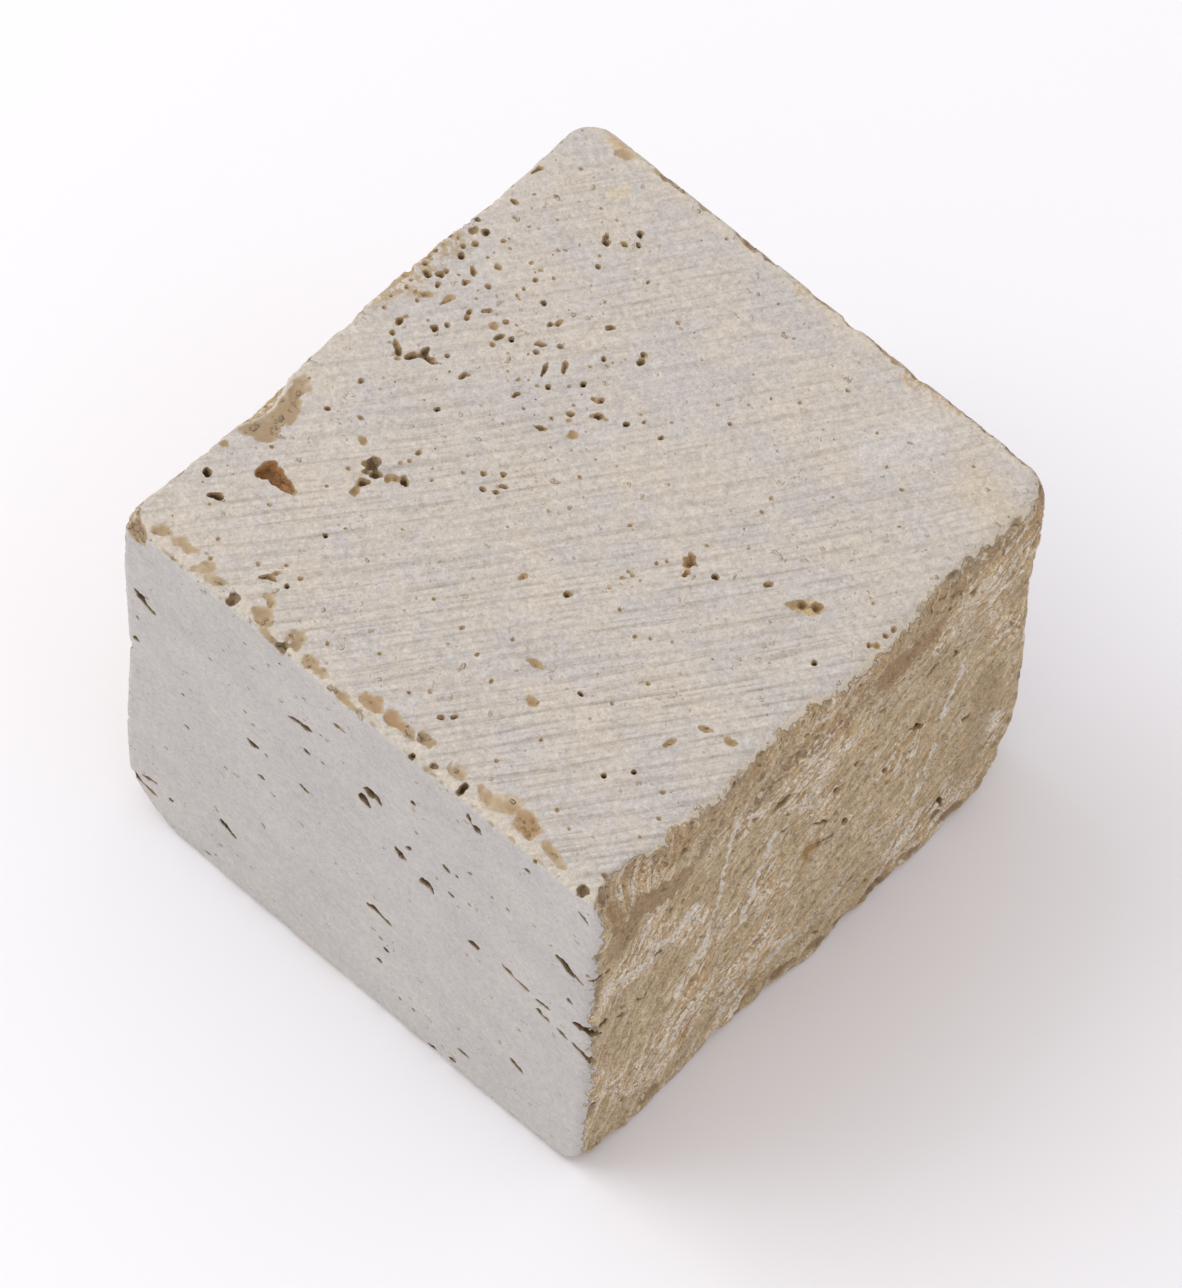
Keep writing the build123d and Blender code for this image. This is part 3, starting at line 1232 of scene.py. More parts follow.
@dataclass(frozen=True)
class Lattice:
    """The regular points at which stone is measured: their spacing in mm, the first one and how many.

    A distance is measured up to so many spacings from the surface.
    """

    step: float
    first: tuple[int, int, int]
    counts: tuple[int, int, int]
    reach: float = 10.0

    @classmethod
    def around(cls, block: Block, step: float, margin: int = 8) -> "Lattice":
        """The points that hold a block.

        Args:
            block: The block.
            step: Their spacing, in mm.
            margin: How many points lie past it on each side.

        Returns:
            The lattice.
        """
        first = [math.floor(low / step) - margin for low in block.low]
        last = [math.ceil(high / step) + margin for high in block.high]
        return cls(step, tuple(first), tuple(b - a + 1 for a, b in zip(first, last)))

    def distances(self, mesh: bpy.types.Mesh) -> np.ndarray:
        """Measures a closed mesh.

        Args:
            mesh: The mesh, in mm.

        Returns:
            How far each point lies outside it in mm, or inside it where below 0.
        """
        corners = np.empty(len(mesh.vertices) * 3, np.float32)
        mesh.vertices.foreach_get("co", corners)
        mesh.calc_loop_triangles()
        triangles = np.empty(len(mesh.loop_triangles) * 3, np.int32)
        mesh.loop_triangles.foreach_get("vertices", triangles)
        grid = vdb.FloatGrid.createLevelSetFromPolygons(
            corners.reshape(-1, 3),
            triangles=triangles.reshape(-1, 3).astype(np.uint32),
            transform=vdb.createLinearTransform(voxelSize=self.step),
            halfWidth=self.reach,
        )
        found = np.empty(self.counts, np.float32)
        grid.copyToArray(found, ijk=self.first)
        return found

    def axis(self, number: int) -> np.ndarray:
        """The points' places along one axis, shaped to be used with a whole array of distances."""
        places = (np.arange(self.counts[number]) + self.first[number]) * self.step
        return places.reshape([-1 if n == number else 1 for n in range(3)]).astype(np.float32)

    def surface(self, distances: np.ndarray, name: str) -> bpy.types.Mesh:
        """The skin where the distances are 0.

        Args:
            distances: The distances, in mm.
            name: What the mesh is called.

        Returns:
            The skin as a mesh in metres that faces out.
        """
        grid = vdb.FloatGrid(self.reach * self.step)
        grid.transform = vdb.createLinearTransform(voxelSize=self.step)
        grid.copyFromArray(distances, ijk=self.first)
        grid.gridClass = vdb.GridClass.LEVEL_SET
        corners, _, quads = grid.convertToPolygons(0.0, 0.0)
        mesh = bpy.data.meshes.new(name)
        mesh.vertices.add(len(corners))
        mesh.vertices.foreach_set("co", (corners / METRE).astype(np.float32).ravel())
        mesh.loops.add(len(quads) * 4)
        mesh.loops.foreach_set("vertex_index", quads[:, ::-1].astype(np.int32).ravel())
        mesh.polygons.add(len(quads))
        mesh.polygons.foreach_set("loop_start", np.arange(0, len(quads) * 4, 4, dtype=np.int32))
        mesh.update(calc_edges=True)
        return mesh

    def read(self, distances: np.ndarray, places: np.ndarray) -> np.ndarray:
        """The distances at any places inside the lattice.

        Args:
            distances: The distances at its points, in mm.
            places: The places, in mm.

        Returns:
            A distance at each place, blended from the eight points round it.
        """
        cells = places / self.step - np.array(self.first)
        cells = np.clip(cells, 0, np.array(self.counts) - 1.001)
        base = np.floor(cells).astype(int)
        share = cells - base
        total = np.zeros(len(places))
        for corner in range(8):
            step = np.array([corner >> 2 & 1, corner >> 1 & 1, corner & 1])
            weight = np.prod(np.where(step, share, 1 - share), axis=1)
            at = base + step
            total += weight * distances[at[:, 0], at[:, 1], at[:, 2]]
        return total


@dataclass(frozen=True)
class Travertine:
    """The stone's finish. Colours are as seen on a screen, sizes and heights in mm.

    A rim, lip, band or half is where something starts and where it is full, and a shift is how far noise
    moves that to and fro.
    """

    block: Block
    ground: Skin
    photo: Photo
    relief: SplitRelief
    top_grey: Colour = (191, 184, 179)
    top_cream: Colour = (199, 188, 175)
    speck: Colour = (150, 130, 102)
    # painted shade: the colour of the darker saw-mark lines, partly their own tone and partly the shade of
    # the saw grooves
    groove: Colour = (160, 148, 130)
    side_grey: Colour = (193, 188, 185)
    side_light: Colour = (205, 200, 193)
    arris_cream: Colour = (208, 196, 177)
    end_tan: Colour = (203, 178, 142)
    end_brown: Colour = (172, 144, 108)
    end_dark: Colour = (118, 95, 66)
    end_smooth: Colour = (190, 171, 139)
    frost: Colour = (232, 225, 212)
    chip_tan: Colour = (171, 147, 118)
    chip_cream: Colour = (190, 171, 144)
    chip_dull: Colour = (146, 127, 102)
    chip_orange: Colour = (166, 129, 90)
    pore_tan: Colour = (176, 151, 116)
    # painted shade: the next two colours darken a pore with depth and in dull-hued pits, partly its brown
    # lining and partly shade
    pore_brown_and_shade: Colour = (108, 84, 56)
    pit_shadow: Colour = (62, 50, 36)
    rust: Colour = (170, 112, 66)
    rag: Cloud = Cloud(2.2, 1.0, 0.6)
    grain: Cloud = Cloud(0.4, 1.0, 0.6)
    mottle: Cloud = Cloud(1.1, 2.0, 0.7)
    crumbs: Cloud = Cloud(0.8, 2.0, 0.6)
    top_clouds: Cloud = Cloud(11.0, 4.0, 0.76)
    top_specks: Cloud = Cloud(0.9, 2.0, 0.55)
    speck_patches: Cloud = Cloud(14.0)
    side_clouds: Cloud = Cloud(9.0, 2.0, 0.65)
    side_drift: Cloud = Cloud(18.0, 0.0)
    calm_patches: Cloud = Cloud(15.0, 0.0)
    brown_patches: Cloud = Cloud(5.0, 2.0, 0.65)
    dark_spots: Cloud = Cloud(1.3, 1.0, 0.6)
    worn_sway: Cloud = Cloud(9.0)
    stain_grit: Cloud = Cloud(0.9, 1.0, 0.65)
    blotches: Cloud = Cloud(1.6, 2.0, 0.65)
    saw_patches: Cloud = Cloud(38.0)
    saw_centre: tuple[float, float] = (-980.0, 690.0)
    saw_way: tuple[float, float] = (0.57, 0.82)
    saw_pitch: float = 2.45
    sawn_rim: tuple[float, float] = (1.4, 0.7)
    side_rim: tuple[float, float] = (-0.3, 0.3)
    cream_rim: tuple[float, float] = (3.2, 1.2)
    cream_lip: tuple[float, float] = (0.15, 0.8)
    worn_band: tuple[float, float] = (7.0, 3.5)
    seen_half: tuple[float, float] = (-1.0, 1.0)
    rag_shift: float = 2.8
    mottle_shift: float = 2.0
    side_shift: float = 1.2
    cream_shift: float = 5.0
    sway_shift: float = 12.0
    fleck_shift: float = 8.0
    stain_shift: float = 2.4
    scratch_height: float = 0.08
    sawn_height: float = 0.1
    streak_height: float = 0.4
    crumb_height: float = 0.55
    grain_height: float = 0.16
    gloss: float = 0.25

    def lay(self, material: bpy.types.Material) -> None:
        """Writes the finish into a material.

        Args:
            material: The material, which then reads object coordinates and the mesh's chip, pore and hue.
        """
        material.use_nodes = True
        graph = Graph(material.node_tree)
        shader = material.node_tree.nodes["Principled BSDF"]
        place = graph.node("ShaderNodeTexCoord").other("Object")
        mm = graph.scaled(place, METRE)
        colour, rough, height = self.surface(graph, mm)
        values = {"Strength": 1.0, "Distance": 1.0, "Height": height * (1.0 / METRE)}
        bump = graph.node("ShaderNodeBump", None, values)
        for name, value in (("Base Color", colour), ("Roughness", rough), ("Normal", bump)):
            material.node_tree.links.new(value.output, shader.inputs[name])
        shader.inputs["Specular IOR Level"].default_value = self.gloss

    def surface(self, graph: Graph, mm: Socket) -> tuple[Socket, Socket, Socket]:
        """The colour, roughness and fine height at each point.

        Args:
            graph: The tree to write in.
            mm: The point.

        Returns:
            The colour, the roughness from 0 to 1 and the height in mm.
        """
        x, y, z = graph.apart(mm)
        level_gap = (z - self.block.low.z).least(self.block.high.z - z)
        side_gap = self.block.high.y - abs(y)
        rag = graph.cloud(mm, self.rag) - 0.5
        grain = graph.cloud(mm, self.grain) - 0.5
        mottle = graph.cloud(mm, self.mottle) - 0.5
        crumbs = graph.cloud(mm, self.crumbs)
        nearest_gap = level_gap.least(side_gap) + rag * self.rag_shift + mottle * self.mottle_shift
        sawn = nearest_gap.rise(*self.sawn_rim)
        side = (level_gap - side_gap + rag * self.side_shift).rise(*self.side_rim)
        edge = (level_gap + side_gap + rag * self.cream_shift).rise(*self.cream_rim)
        saw, scratches = self.saw_marks(graph, mm)
        level_colour = graph.mixed(edge * 0.5, self.level_colour(graph, mm, saw), linear(self.arris_cream))
        level_colour = self.stained(graph, mm, level_colour, TOP_STAINS, Vector((1.0, 1.0, 1.0)))
        level_colour = graph.mixed(level_gap.rise(*self.cream_lip), level_colour, linear(self.arris_cream))
        place = self.relief.bedding.place(graph, mm)
        streaks = self.relief.bedding.noise(place, 4.5, 1.2, 2.0)
        flat_colour = graph.mixed(side, level_colour, self.side_colour(graph, mm, place))
        end_colour = self.end_colour(graph, mm, place, streaks, crumbs)
        seen_end = self.stained(graph, mm, end_colour, END_STAINS, Vector((0.0, 1.0, 1.0)))
        end_colour = graph.mixed(x.rise(*self.seen_half), end_colour, seen_end)
        skin = graph.mixed(sawn, end_colour, flat_colour)
        speckled = (mottle + grain * 0.8) * (0.95 - sawn * (0.33 + side * 0.2))
        colour = self.broken_colour(graph, mm, graph.scaled(skin, 1.0 + speckled))
        flat_height = scratches * (1.0 - side) * self.scratch_height + (grain + mottle) * self.sawn_height
        end_height = streaks * self.streak_height + crumbs * self.crumb_height + grain * self.grain_height
        height = flat_height * sawn + end_height * (1.0 - sawn)
        return colour, 0.88 + grain * 0.15, height

    def saw_marks(self, graph: Graph, mm: Socket) -> tuple[Socket, Socket]:
        """The arcs that the saw left on the top and the bed.

        Args:
            graph: The tree to write in.
            mm: The point.

        Returns:
            All the marks, as a wave about 0 that comes and goes, and the finest scratches alone.
        """
        x, y, _ = graph.apart(mm)
        flat = graph.vector(x - self.saw_centre[0], y - self.saw_centre[1], 0.0)
        radius = graph.vector_maths("LENGTH", flat).other("Value")
        along = x * self.saw_way[0] + y * self.saw_way[1]
        turn = math.tau / self.saw_pitch

        def drawn(wide: float, long: float, shift: float, detail: float, rough: float) -> Socket:
            """Noise of so many clouds to the mm across the marks and along them, apart from the others."""
            return graph.noise(graph.vector(radius * wide, along * long, shift), 1.0, detail, rough)

        drift = drawn(0.16, 0.02, 1.0, 1.0, 0.5) * 9.0
        broad = graph.maths("SINE", radius * turn + drift).rise(0.0, 1.0)
        fine = graph.maths("SINE", radius * (turn * 2.1) + drift * 2.3).rise(0.1, 1.0)
        share = drawn(0.35, 0.07, 3.0, 2.0, 0.65).rise(0.3, 0.66)
        broken = drawn(0.6, 0.16, 9.0, 1.0, 0.6).rise(0.4, 0.62)
        scratches = drawn(1.9, 0.1, 5.0, 2.0, 0.6) - 0.5
        shown = graph.cloud(mm, self.saw_patches).rise(0.28, 0.6)
        nearby = 0.62 + (x - y) * 0.004
        marks = scratches * 1.5 - broad * share * 0.75 - fine * broken * 0.55
        return marks * (nearby + shown * 0.4), scratches

    def level_colour(self, graph: Graph, mm: Socket, saw: Socket) -> Socket:
        """The sawn top and bed: grey and cream clouds, darker saw marks, partly their own tone and partly
        painted shade of the saw grooves, and tan specks.

        Args:
            graph: The tree to write in.
            mm: The point.
            saw: The saw marks, as a wave about 0.

        Returns:
            The colour.
        """
        clouds = graph.cloud(mm, self.top_clouds).rise(0.34, 0.66)
        base = graph.mixed(clouds, linear(self.top_grey), linear(self.top_cream))
        specks = graph.cloud(mm, self.top_specks).rise(0.64, 0.74)
        specks = specks * graph.cloud(mm, self.speck_patches).rise(0.35, 0.65)
        base = graph.mixed(specks * 0.7, base, linear(self.speck))
        # painted shade: the saw marks pull the colour towards the groove colour and scale its brightness,
        # partly their tone and partly the shade of the saw grooves
        base = graph.mixed(saw * -0.3, base, linear(self.groove))
        return graph.scaled(base, 1.02 + saw * 0.1)

    def side_colour(self, graph: Graph, mm: Socket, place: tuple[Socket, Socket]) -> Socket:
        """The sawn sides: smooth cool grey with faint lighter clouds that run with the bedding.

        Args:
            graph: The tree to write in.
            mm: The point.
            place: How far along the bedding and how far up through it the point lies.

        Returns:
            The colour.
        """
        streaks = self.relief.bedding.noise(place, 18.0, 7.0, 21.0).rise(0.4, 0.7)
        clouds = graph.cloud(mm, self.side_clouds).rise(0.35, 0.65)
        base = graph.mixed(streaks * 0.3 + clouds * 0.4, linear(self.side_grey), linear(self.side_light))
        return graph.scaled(base, 0.96 + graph.cloud(mm, self.side_drift) * 0.08)

    def end_colour(
        self, graph: Graph, mm: Socket, place: tuple[Socket, Socket], streaks: Socket, flecks: Socket
    ) -> Socket:
        """The split ends: tan, with frosted streaks along the bedding, a brown band under the top and painted
        shade in the grooves between the ledges.

        Args:
            graph: The tree to write in.
            mm: The point.
            place: How far along the bedding and how far up through it the point lies.
            streaks: The short streaks along the bedding, from 0 to 1.
            flecks: Fine noise, from 0 to 1.

        Returns:
            The colour.
        """
        bedding = self.relief.bedding
        veins = bedding.noise(place, 26.0, 4.2, 15.0)
        threads = bedding.noise(place, 15.0, 2.6, 33.0)
        # painted shade: the grooves between the ledges, which are browned, darkened and given less frost
        # below
        groove = self.relief.ledges(place)
        calm = graph.cloud(mm, self.calm_patches).rise(0.44, 0.6)
        thin = abs(veins - 0.5).rise(0.04, 0.01).most(abs(threads - 0.5).rise(0.035, 0.008) * 0.75)
        fresh = streaks + (flecks - 0.5) * 0.9 - groove * 0.06 - calm * 0.15 + (veins - 0.5) * 0.3
        frost = (fresh.rise(0.56, 0.66) * 0.75 + thin * (1.0 - calm * 0.6) * flecks.rise(0.3, 0.5)).least(1.0)
        _, _, z = graph.apart(mm)
        below = self.block.high.z - z + (graph.cloud(mm, self.worn_sway) - 0.5) * self.sway_shift
        worn = (below + (flecks - 0.5) * self.fleck_shift).rise(*self.worn_band)
        dark = graph.cloud(mm, self.dark_spots).rise(0.6, 0.68)
        patches = graph.cloud(mm, self.brown_patches).rise(0.4, 0.7)
        tan = graph.mixed(patches * 0.8, linear(self.end_tan), linear(self.end_brown))
        tan = graph.mixed(calm * 0.7, tan, linear(self.end_smooth))
        # the worn band is the stone's own brown; the groove share here is painted shade
        tan = graph.mixed((worn * 0.7).most(groove * 0.35), tan, linear(self.end_brown))
        tan = graph.mixed(dark * (0.4 + worn * 0.35), tan, linear(self.end_dark))
        # painted shade: darker in the grooves between the ledges
        tan = graph.scaled(tan, 1.08 - groove * 0.12)
        return graph.mixed(frost * (0.8 - worn * 0.3), tan, linear(self.frost))

    def stained(
        self, graph: Graph, mm: Socket, skin: Socket, stains: tuple[Stain, ...], across: Vector
    ) -> Socket:
        """Lays stains that the photograph shows over a skin's colour.

        Args:
            graph: The tree to write in.
            mm: The point.
            skin: The skin's own colour.
            stains: The stains.
            across: The ways in which distance counts: 1 where it does and 0 where the surface is too rough.

        Returns:
            The colour everywhere.
        """
        shift = graph.scaled(graph.swirl(mm, 0.6, 1.0, 0.6), self.stain_shift)
        ragged = graph.vector_maths("ADD", mm, shift)
        ragged = graph.vector_maths("MULTIPLY", ragged, tuple(across))
        grit = graph.cloud(mm, self.stain_grit).rise(0.6, 0.45)
        eye = Vector(self.photo.eye)
        for stain in stains:
            rays = (self.photo.ray(pixel) for pixel in (stain.start, stain.end))
            ends = tuple(self.ground.touched(eye, ray) * across for ray in rays)
            skin = graph.mixed(stain.share(graph, ragged, ends, grit), skin, linear(stain.colour))
        return skin

    def broken_colour(self, graph: Graph, mm: Socket, skin: Socket) -> Socket:
        """Lays the colours of the chips and the pores over the skin's; the pores darken with depth and in
        dull-hued pits, which is partly their brown lining and partly painted shade.

        Args:
            graph: The tree to write in.
            mm: The point.
            skin: The skin's own colour.

        Returns:
            The colour everywhere.
        """
        chip, pore, hue = (
            graph.node("ShaderNodeAttribute", {"attribute_name": name}).other("Fac")
            for name in ("chip", "pore", "hue")
        )
        blotch = graph.cloud(mm, self.blotches)
        shallow = (chip + (blotch - 0.5) * 0.5).rise(0.5, 0.15)
        fresh = graph.mixed(shallow * 0.9, linear(self.chip_tan), linear(self.chip_cream))
        fresh = graph.mixed(hue * (blotch * 2.0), fresh, linear(self.chip_orange))
        fresh = graph.mixed(hue * (blotch * -2.0), fresh, linear(self.chip_dull))
        colour = graph.mixed((chip + (blotch - 0.5) * 0.2).rise(0.04, 0.2), skin, fresh)
        # painted shade: deeper in a pore the tan lining turns brown, and pits with a dull hue turn near black
        deep = graph.mixed(pore.rise(0.2, 1.1), linear(self.pore_tan), linear(self.pore_brown_and_shade))
        deep = graph.mixed((hue - 0.3) * (blotch * 2.2), deep, linear(self.rust))
        deep = graph.mixed(hue * (blotch * -2.2), deep, linear(self.pit_shadow))
        return graph.mixed((pore + (blotch - 0.5) * 0.1).rise(0.06, 0.22), colour, deep)


@dataclass
class Sett:
    """The block of stone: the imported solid, roughened, chipped and pored, in its finish.

    It is measured on points that lie a step apart, in mm. The crisp reach is how much rounding of the
    crisp arris is filled, and the sharp angle, in degrees, is where its shading breaks.
    """

    block: Block
    photo: Photo
    relief: SplitRelief
    step: float = 0.25
    triangles: int = 192_000
    crisp_reach: float = 2.2
    crisp_radius: float = 0.7
    sharp_angle: float = 40.0
    chip_plugs: PlugShop = PlugShop(lump_size=0.8, lump_height=0.9, rounds=4)
    pore_plugs: PlugShop = PlugShop(lump_size=0.9, lump_height=0.8, rounds=3)
    chip_seed: int = 3
    pore_seed: int = 4
    first_nibble_seed: int = 30
    hollow_depth: float = 0.02
    hue_reach: float = 0.6

    def scatters(self) -> tuple[Scatter, ...]:
        """The pores that are drawn at random, face by face.

        Returns:
            Their scatters.
        """
        return (
            Scatter(Face.TOP, 80, (0.45, 0.8), (1.0, 1.6), 0.8, 11),
            Scatter(Face.TOP, 46, (0.45, 1.0), (1.0, 1.7), 0.8, 17, (-0.8, 0.42, 0.0), 0.16),
            Scatter(Face.TOP, 24, (0.45, 0.9), (1.0, 1.7), 0.8, 18, (-0.3, 0.25, 0.0), 0.14),
            Scatter(Face.BED, 170, (0.7, 2.6), (1.0, 2.2), 0.9, 12),
            Scatter(Face.SIDE_FRONT, 16, (0.45, 0.7), (1.0, 2.5), 1.2, 13),
            Scatter(Face.SIDE_REAR, 60, (0.6, 1.9), (1.0, 5.0), 1.2, 14),
            Scatter(Face.END_FRONT, 70, (0.5, 1.1), (1.0, 3.5), 1.3, 15),
            Scatter(Face.END_REAR, 60, (0.6, 2.2), (1.2, 4.0), 1.2, 16),
        )

    def nibbles(self) -> tuple[Nibbles, ...]:
        """The chips that are drawn at random, arris by arris.

        Returns:
            The nibbles of each arris.
        """
        rows = []
        for level in (Face.TOP, Face.BED):
            for side in SIDES:
                seen = level is Face.TOP and side is Face.SIDE_FRONT
                rows.append(((level, side), 70, (0.7, 2.2) if seen else (0.8, 4.0)))
            for end in ENDS:
                seen = level is Face.TOP and end is Face.END_FRONT
                rows.append(((level, end), 40, (0.7, 1.8) if seen else (1.0, 4.5)))
        rows += [((side, end), 34, (1.0, 4.5)) for side in SIDES for end in ENDS]
        return tuple(Nibbles(*row, self.first_nibble_seed + number) for number, row in enumerate(rows))

    def wears(self) -> tuple[Wear, ...]:
        """How round the level arrises of the ends are worn.

        Returns:
            The wear of each.
        """
        return (
            Wear(Face.END_FRONT, Face.TOP, 4.0, 0.35, 0.7),
            Wear(Face.END_REAR, Face.TOP, 2.0, 0.5, 1.9),
            Wear(Face.END_FRONT, Face.BED, 3.0, 0.6, 2.6),
            Wear(Face.END_REAR, Face.BED, 3.4, 0.6, 3.4),
        )

    def worn_arris(self, lattice: Lattice, stone: np.ndarray, wear: Wear) -> None:
        """Rounds one level arris of an end.

        Args:
            lattice: Where the stone is measured.
            stone: The distances, which are changed in place.
            wear: Which arris, and how round.
        """
        x, y, z = (lattice.axis(number) for number in range(3))
        way, up = wear.end.out().x, wear.level.out().z
        level = self.block.high.z if up > 0 else self.block.low.z
        reach = 3 * wear.radius
        columns = np.flatnonzero(way * x.ravel() > self.block.high.x - 2 * reach)
        rows = np.flatnonzero(up * (z.ravel() - level) > -reach)
        outer = np.flatnonzero(way * x.ravel() > 0)
        sound = rows[0] if up > 0 else rows[-1]
        filled = np.clip(0.5 - stone[outer, :, sound] / lattice.step, 0, 1)
        end = (filled.sum(axis=0) * lattice.step + lattice.step / 2).reshape(1, -1, 1)
        radius = wear.radii(y)
        above = up * (z[:, :, rows] - level) + radius
        beyond = way * x[columns] - end + radius
        corner = np.hypot(above, beyond) - radius
        part = np.ix_(columns, np.arange(stone.shape[1]), rows)
        both = (above > 0) & (beyond > 0)
        stone[part] = np.where(both, np.maximum(stone[part], corner), stone[part])

    def crisp_arris(self, lattice: Lattice, stone: np.ndarray) -> None:
        """Fills the rounding of the arris between the top and the front side, which is crisp.

        Args:
            lattice: Where the stone is measured.
            stone: The distances, which are changed in place.
        """
        x, y, z = (lattice.axis(number) for number in range(3))
        near = slice(0, int((self.block.low.y + 2 * self.crisp_reach) / lattice.step) - lattice.first[1])
        over = slice(int((self.block.high.z - 2 * self.crisp_reach) / lattice.step) - lattice.first[2], None)
        top = z[:, :, over] - self.block.high.z
        side = self.block.low.y - y[:, near]
        radius = self.crisp_radius
        corner = np.hypot(np.maximum(top + radius, 0), np.maximum(side + radius, 0)) - radius
        edge = corner + np.minimum(np.maximum(top, side) + radius, 0)
        inner = np.maximum(-top, -side) - self.crisp_reach
        ends = np.abs(x) - (self.block.high.x - 2.5 * self.crisp_reach)
        bead = np.maximum(np.maximum(edge, inner), ends)
        stone[:, near, over] = np.minimum(stone[:, near, over], bead)

    def build(self) -> bpy.types.Object:
        """Builds the piece.

        Returns:
            The finished object, in metres, with its place in its mesh.
        """
        start = time.time()
        material = bpy.data.materials.new(SLOT)
        lattice = Lattice.around(self.block, self.step)
        stone = lattice.distances(self.block.mesh)
        for wear in self.wears():
            self.worn_arris(lattice, stone, wear)
        self.crisp_arris(lattice, stone)
        log.info("block measured on %s points, %.1f s", lattice.counts, time.time() - start)
        rough = self.relief.recipe(self.block, material).applied(lattice.surface(stone, "smooth"))
        rough.transform(Matrix.Scale(METRE, 4))
        skin = lattice.distances(rough)
        faces = bmesh.new()
        faces.from_mesh(rough)
        ground = Skin.of(faces, (self.block.low, self.block.high))
        faces.free()
        bpy.data.meshes.remove(rough)
        Travertine(self.block, ground, self.photo, self.relief).lay(material)
        log.info("ends roughened, %.1f s", time.time() - start)
        placer = Placer(self.block, ground, self.photo)
        chips = placer.seen(SEEN_CHIPS, True, self.chip_seed)
        chips += [plug for nibbles in self.nibbles() for plug in nibbles.plugs(placer)]
        pores = placer.seen(SEEN_PORES, False, self.pore_seed)
        pores += [plug for scatter in self.scatters() for plug in scatter.plugs(placer)]
        chipped = self.carved(lattice, skin, self.chip_plugs.made(chips, material))
        pored = self.carved(lattice, chipped, self.pore_plugs.made(pores, material))
        log.info("%d chips and %d pores cut, %.1f s", len(chips), len(pores), time.time() - start)
        mesh = self.thinned(lattice.surface(pored, PIECE))
        mesh.name = PIECE
        self.measure(mesh, lattice, skin, chipped, chips + pores)
        mesh.materials.clear()
        mesh.materials.append(material)
        piece = bpy.data.objects.new(PIECE, mesh)
        bpy.context.scene.collection.objects.link(piece)
        log.info("%s has %d triangles, %.1f s", PIECE, len(mesh.polygons), time.time() - start)
        return piece

    def carved(self, lattice: Lattice, stone: np.ndarray, plugs: bpy.types.Mesh) -> np.ndarray:
        """Cuts plugs out of stone.

        Args:
            lattice: Where the stone is measured.
            stone: The distances before.
            plugs: The plugs, which are used up.

        Returns:
            The distances after.
        """
        cut = lattice.distances(plugs)
        bpy.data.meshes.remove(plugs)
        return np.maximum(stone, -cut)

    def thinned(self, dense: bpy.types.Mesh) -> bpy.types.Mesh:
        """Thins a dense skin to few enough triangles and leaves only its largest part.

        Args:
            dense: The skin, which is used up.

        Returns:
            The thinned skin, with its normals settled.
        """
        carrier = bpy.data.objects.new("dense", dense)
        thin = carrier.modifiers.new("thin", "DECIMATE")
        thin.ratio = self.triangles / (2 * len(dense.polygons))
        thin.use_collapse_triangulate = True
        mesh = plain(carrier, thin)
        self.keep_largest(mesh)
        mesh.shade_smooth()
        mesh.set_sharp_from_angle(angle=math.radians(self.sharp_angle))
        carrier = bpy.data.objects.new("thinned", mesh)
        weigh = carrier.modifiers.new("weigh", "WEIGHTED_NORMAL")
        weigh.keep_sharp = True
        weigh.weight = 100
        return plain(carrier, weigh)

    def keep_largest(self, mesh: bpy.types.Mesh) -> None:
        """Takes away every loose crumb and closed bubble, so that one skin is left.

        Args:
            mesh: The mesh, which is changed in place.
        """
        work = bmesh.new()
        work.from_mesh(mesh)
        left = set(work.verts)
        islands = []
        while left:
            seed = left.pop()
            island = [seed]
            for vertex in island:
                for edge in vertex.link_edges:
                    beyond = edge.other_vert(vertex)
                    if beyond in left:
                        left.remove(beyond)
                        island.append(beyond)
            islands.append(island)
        islands.sort(key=len, reverse=True)
        for island in islands[1:]:
            bmesh.ops.delete(work, geom=island, context="VERTS")
        open_edges = sum(1 for edge in work.edges if not edge.is_manifold)
        log.info("%d loose crumbs taken away, %d open edges", len(islands) - 1, open_edges)
        work.to_mesh(mesh)
        work.free()

    def measure(
        self, mesh: bpy.types.Mesh, lattice: Lattice, skin: np.ndarray, chipped: np.ndarray, plugs: list[Plug]
    ) -> None:
        """Writes on the mesh how deep each point lies in a chip or a pore, and its hue.

        Args:
            mesh: The finished skin, in metres.
            lattice: Where the stone is measured.
            skin: The distances before the chips.
            chipped: The distances before the pores.
            plugs: The chips and pores, for their hue.
        """
        places = np.empty(len(mesh.vertices) * 3, np.float32)
        mesh.vertices.foreach_get("co", places)
        places = places.reshape(-1, 3) * METRE
        chip = np.maximum(-lattice.read(skin, places), 0.0)
        pore = np.maximum(-lattice.read(chipped, places), 0.0)
        hue = np.zeros(len(places))
        hollow = np.flatnonzero(chip + pore > self.hollow_depth)
        for plug in plugs:
            if plug.hue:
                reach = max(plug.half) + self.hue_reach
                near = np.linalg.norm(places[hollow] - np.array(plug.centre), axis=1) / reach
                tint = plug.hue * np.clip(1.5 - near, 0.0, 1.0)
                hue[hollow] = np.where(np.abs(tint) > np.abs(hue[hollow]), tint, hue[hollow])
        for name, values in (("chip", chip), ("pore", pore), ("hue", hue)):
            attribute = mesh.attributes.new(name, "FLOAT", "POINT")
            attribute.data.foreach_set("value", values.astype(np.float32))


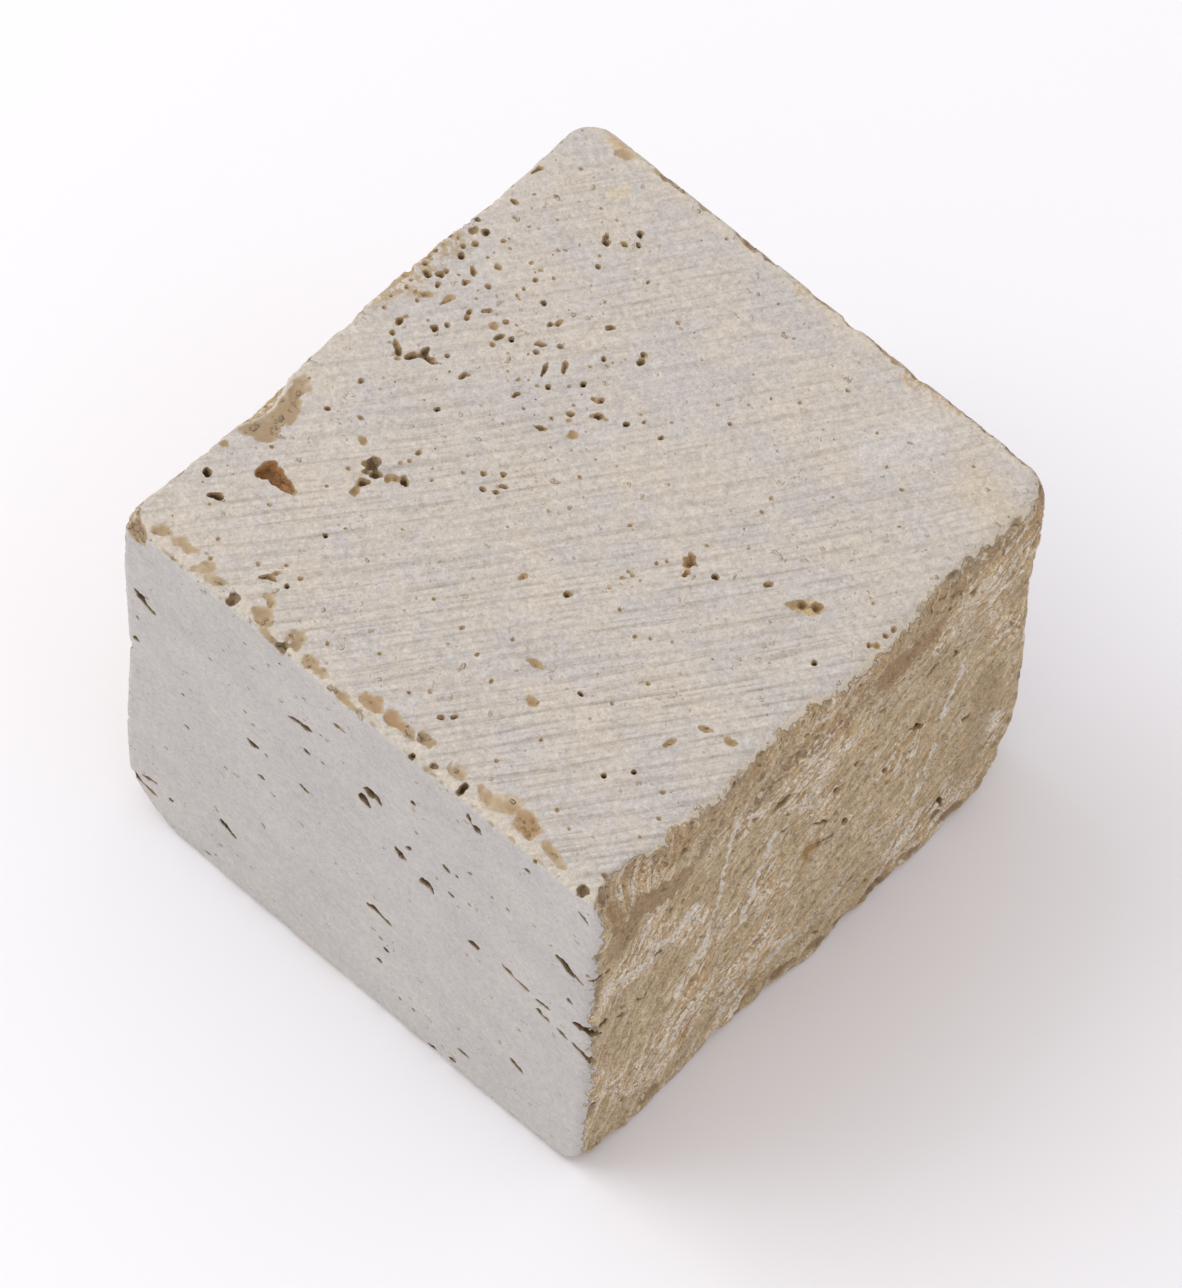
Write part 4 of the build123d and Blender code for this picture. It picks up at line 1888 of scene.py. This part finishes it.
@dataclass(frozen=True)
class Studio:
    """A pale floor, soft light from the left and the photograph's camera, closer in on the one block.

    The block fills so much of the frame. The floor's size and its gap under the bed are in metres.
    """

    block: Block
    photo: Photo
    fill: float = 0.84
    floor_size: float = 6.0
    floor_gap: float = 0.0002
    floor_white: Colour = (246, 244, 247)
    lamp_white: tuple[float, float, float] = (0.95, 1.0, 1.02)
    sky_white: tuple[float, float, float, float] = (1.0, 0.97, 0.975, 1.0)
    sky_strength: float = 0.74

    def floor(self) -> bpy.types.Object:
        """Lays the floor, just under the bed.

        Returns:
            The floor.
        """
        half = self.floor_size / 2
        mesh = bpy.data.meshes.new("floor")
        below = self.block.low.z / METRE - self.floor_gap
        corners = [(x * half, y * half, below) for x, y in ((-1, -1), (1, -1), (1, 1), (-1, 1))]
        mesh.from_pydata(corners, [], [(0, 1, 2, 3)])
        paper = bpy.data.materials.new("paper")
        paper.use_nodes = True
        shader = paper.node_tree.nodes["Principled BSDF"]
        shader.inputs["Base Color"].default_value = linear(self.floor_white)
        shader.inputs["Roughness"].default_value = 0.9
        shader.inputs["Specular IOR Level"].default_value = 0.1
        mesh.materials.append(paper)
        floor = bpy.data.objects.new("floor", mesh)
        bpy.context.scene.collection.objects.link(floor)
        return floor

    def light(
        self, name: str, towards: tuple[float, float, float], away: float, size: float, watts: float
    ) -> None:
        """Hangs one square soft light.

        Args:
            name: What it is called.
            towards: The way from the block to it.
            away: How far off it is, in metres.
            size: How wide it is, in metres.
            watts: How strong it is.
        """
        lamp = bpy.data.lights.new(name, "AREA")
        lamp.size = size
        lamp.color = self.lamp_white
        lamp.energy = watts
        hung = bpy.data.objects.new(name, lamp)
        way = Vector(towards).normalized()
        hung.location = self.block.middle() / METRE + way * away
        hung.rotation_euler = way.to_track_quat("Z", "Y").to_euler()
        bpy.context.scene.collection.objects.link(hung)

    def lights(self) -> None:
        """Hangs the lights and sets the sky, which fills the shadows."""
        self.light("key", towards=(-0.85, -0.45, 1.25), away=1.7, size=1.2, watts=12.5)
        self.light("overhead", towards=(0.3, 0.3, 1.6), away=1.8, size=1.6, watts=3.0)
        world = bpy.data.worlds.new("sky")
        world.use_nodes = True
        background = world.node_tree.nodes["Background"]
        background.inputs["Color"].default_value = self.sky_white
        background.inputs["Strength"].default_value = self.sky_strength
        bpy.context.scene.world = world
        bpy.context.scene.view_settings.view_transform = "Standard"

    def camera(self) -> bpy.types.Object:
        """Sets the camera at the photograph's eye, aimed at the block and with a lens that fills the frame.

        Returns:
            The camera.
        """
        eye = Vector(self.photo.eye)
        corners = [
            Vector((x, y, z))
            for x in (self.block.low.x, self.block.high.x)
            for y in (self.block.low.y, self.block.high.y)
            for z in (self.block.low.z, self.block.high.z)
        ]
        right = self.photo.axes()[0]
        ahead = (self.block.middle() - eye).normalized()
        for _ in range(4):
            side = (right - ahead * right.dot(ahead)).normalized()
            up = side.cross(ahead)
            across = [(c - eye).dot(side) / (c - eye).dot(ahead) for c in corners]
            above = [(c - eye).dot(up) / (c - eye).dot(ahead) for c in corners]
            middle = ((min(across) + max(across)) / 2, (min(above) + max(above)) / 2)
            ahead = (ahead + side * middle[0] + up * middle[1]).normalized()
        wide = (max(across) - min(across)) / self.photo.width
        span = max(wide, (max(above) - min(above)) / self.photo.height)
        seen = bpy.data.cameras.new("photo_view")
        seen.lens = seen.sensor_width * self.fill / (span * max(self.photo.width, self.photo.height))
        seen.clip_start, seen.clip_end = 0.05, 20.0
        camera = bpy.data.objects.new("photo_view", seen)
        side = (right - ahead * right.dot(ahead)).normalized()
        turned = Matrix((side, side.cross(ahead), -ahead)).transposed().to_4x4()
        camera.matrix_world = Matrix.Translation(eye / METRE) @ turned
        bpy.context.scene.collection.objects.link(camera)
        bpy.context.scene.camera = camera
        return camera


def write_sizes() -> None:
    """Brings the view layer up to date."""
    bpy.context.view_layer.update()


def main() -> None:
    """Builds the sett and its studio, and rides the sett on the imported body."""
    logging.basicConfig(level=logging.INFO, format="%(message)s")
    block = Block.from_frame()
    photo = Photo()
    sett = Sett(block, photo, SplitRelief()).build()
    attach(sett, BODY)
    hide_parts(NODE)
    studio = Studio(block, photo)
    studio.floor()
    studio.lights()
    studio.camera()
    write_sizes()
    log.info("%s rides on %s and stands for %s", sett.name, BODY, NODE)


if __name__ == "__main__":
    main()
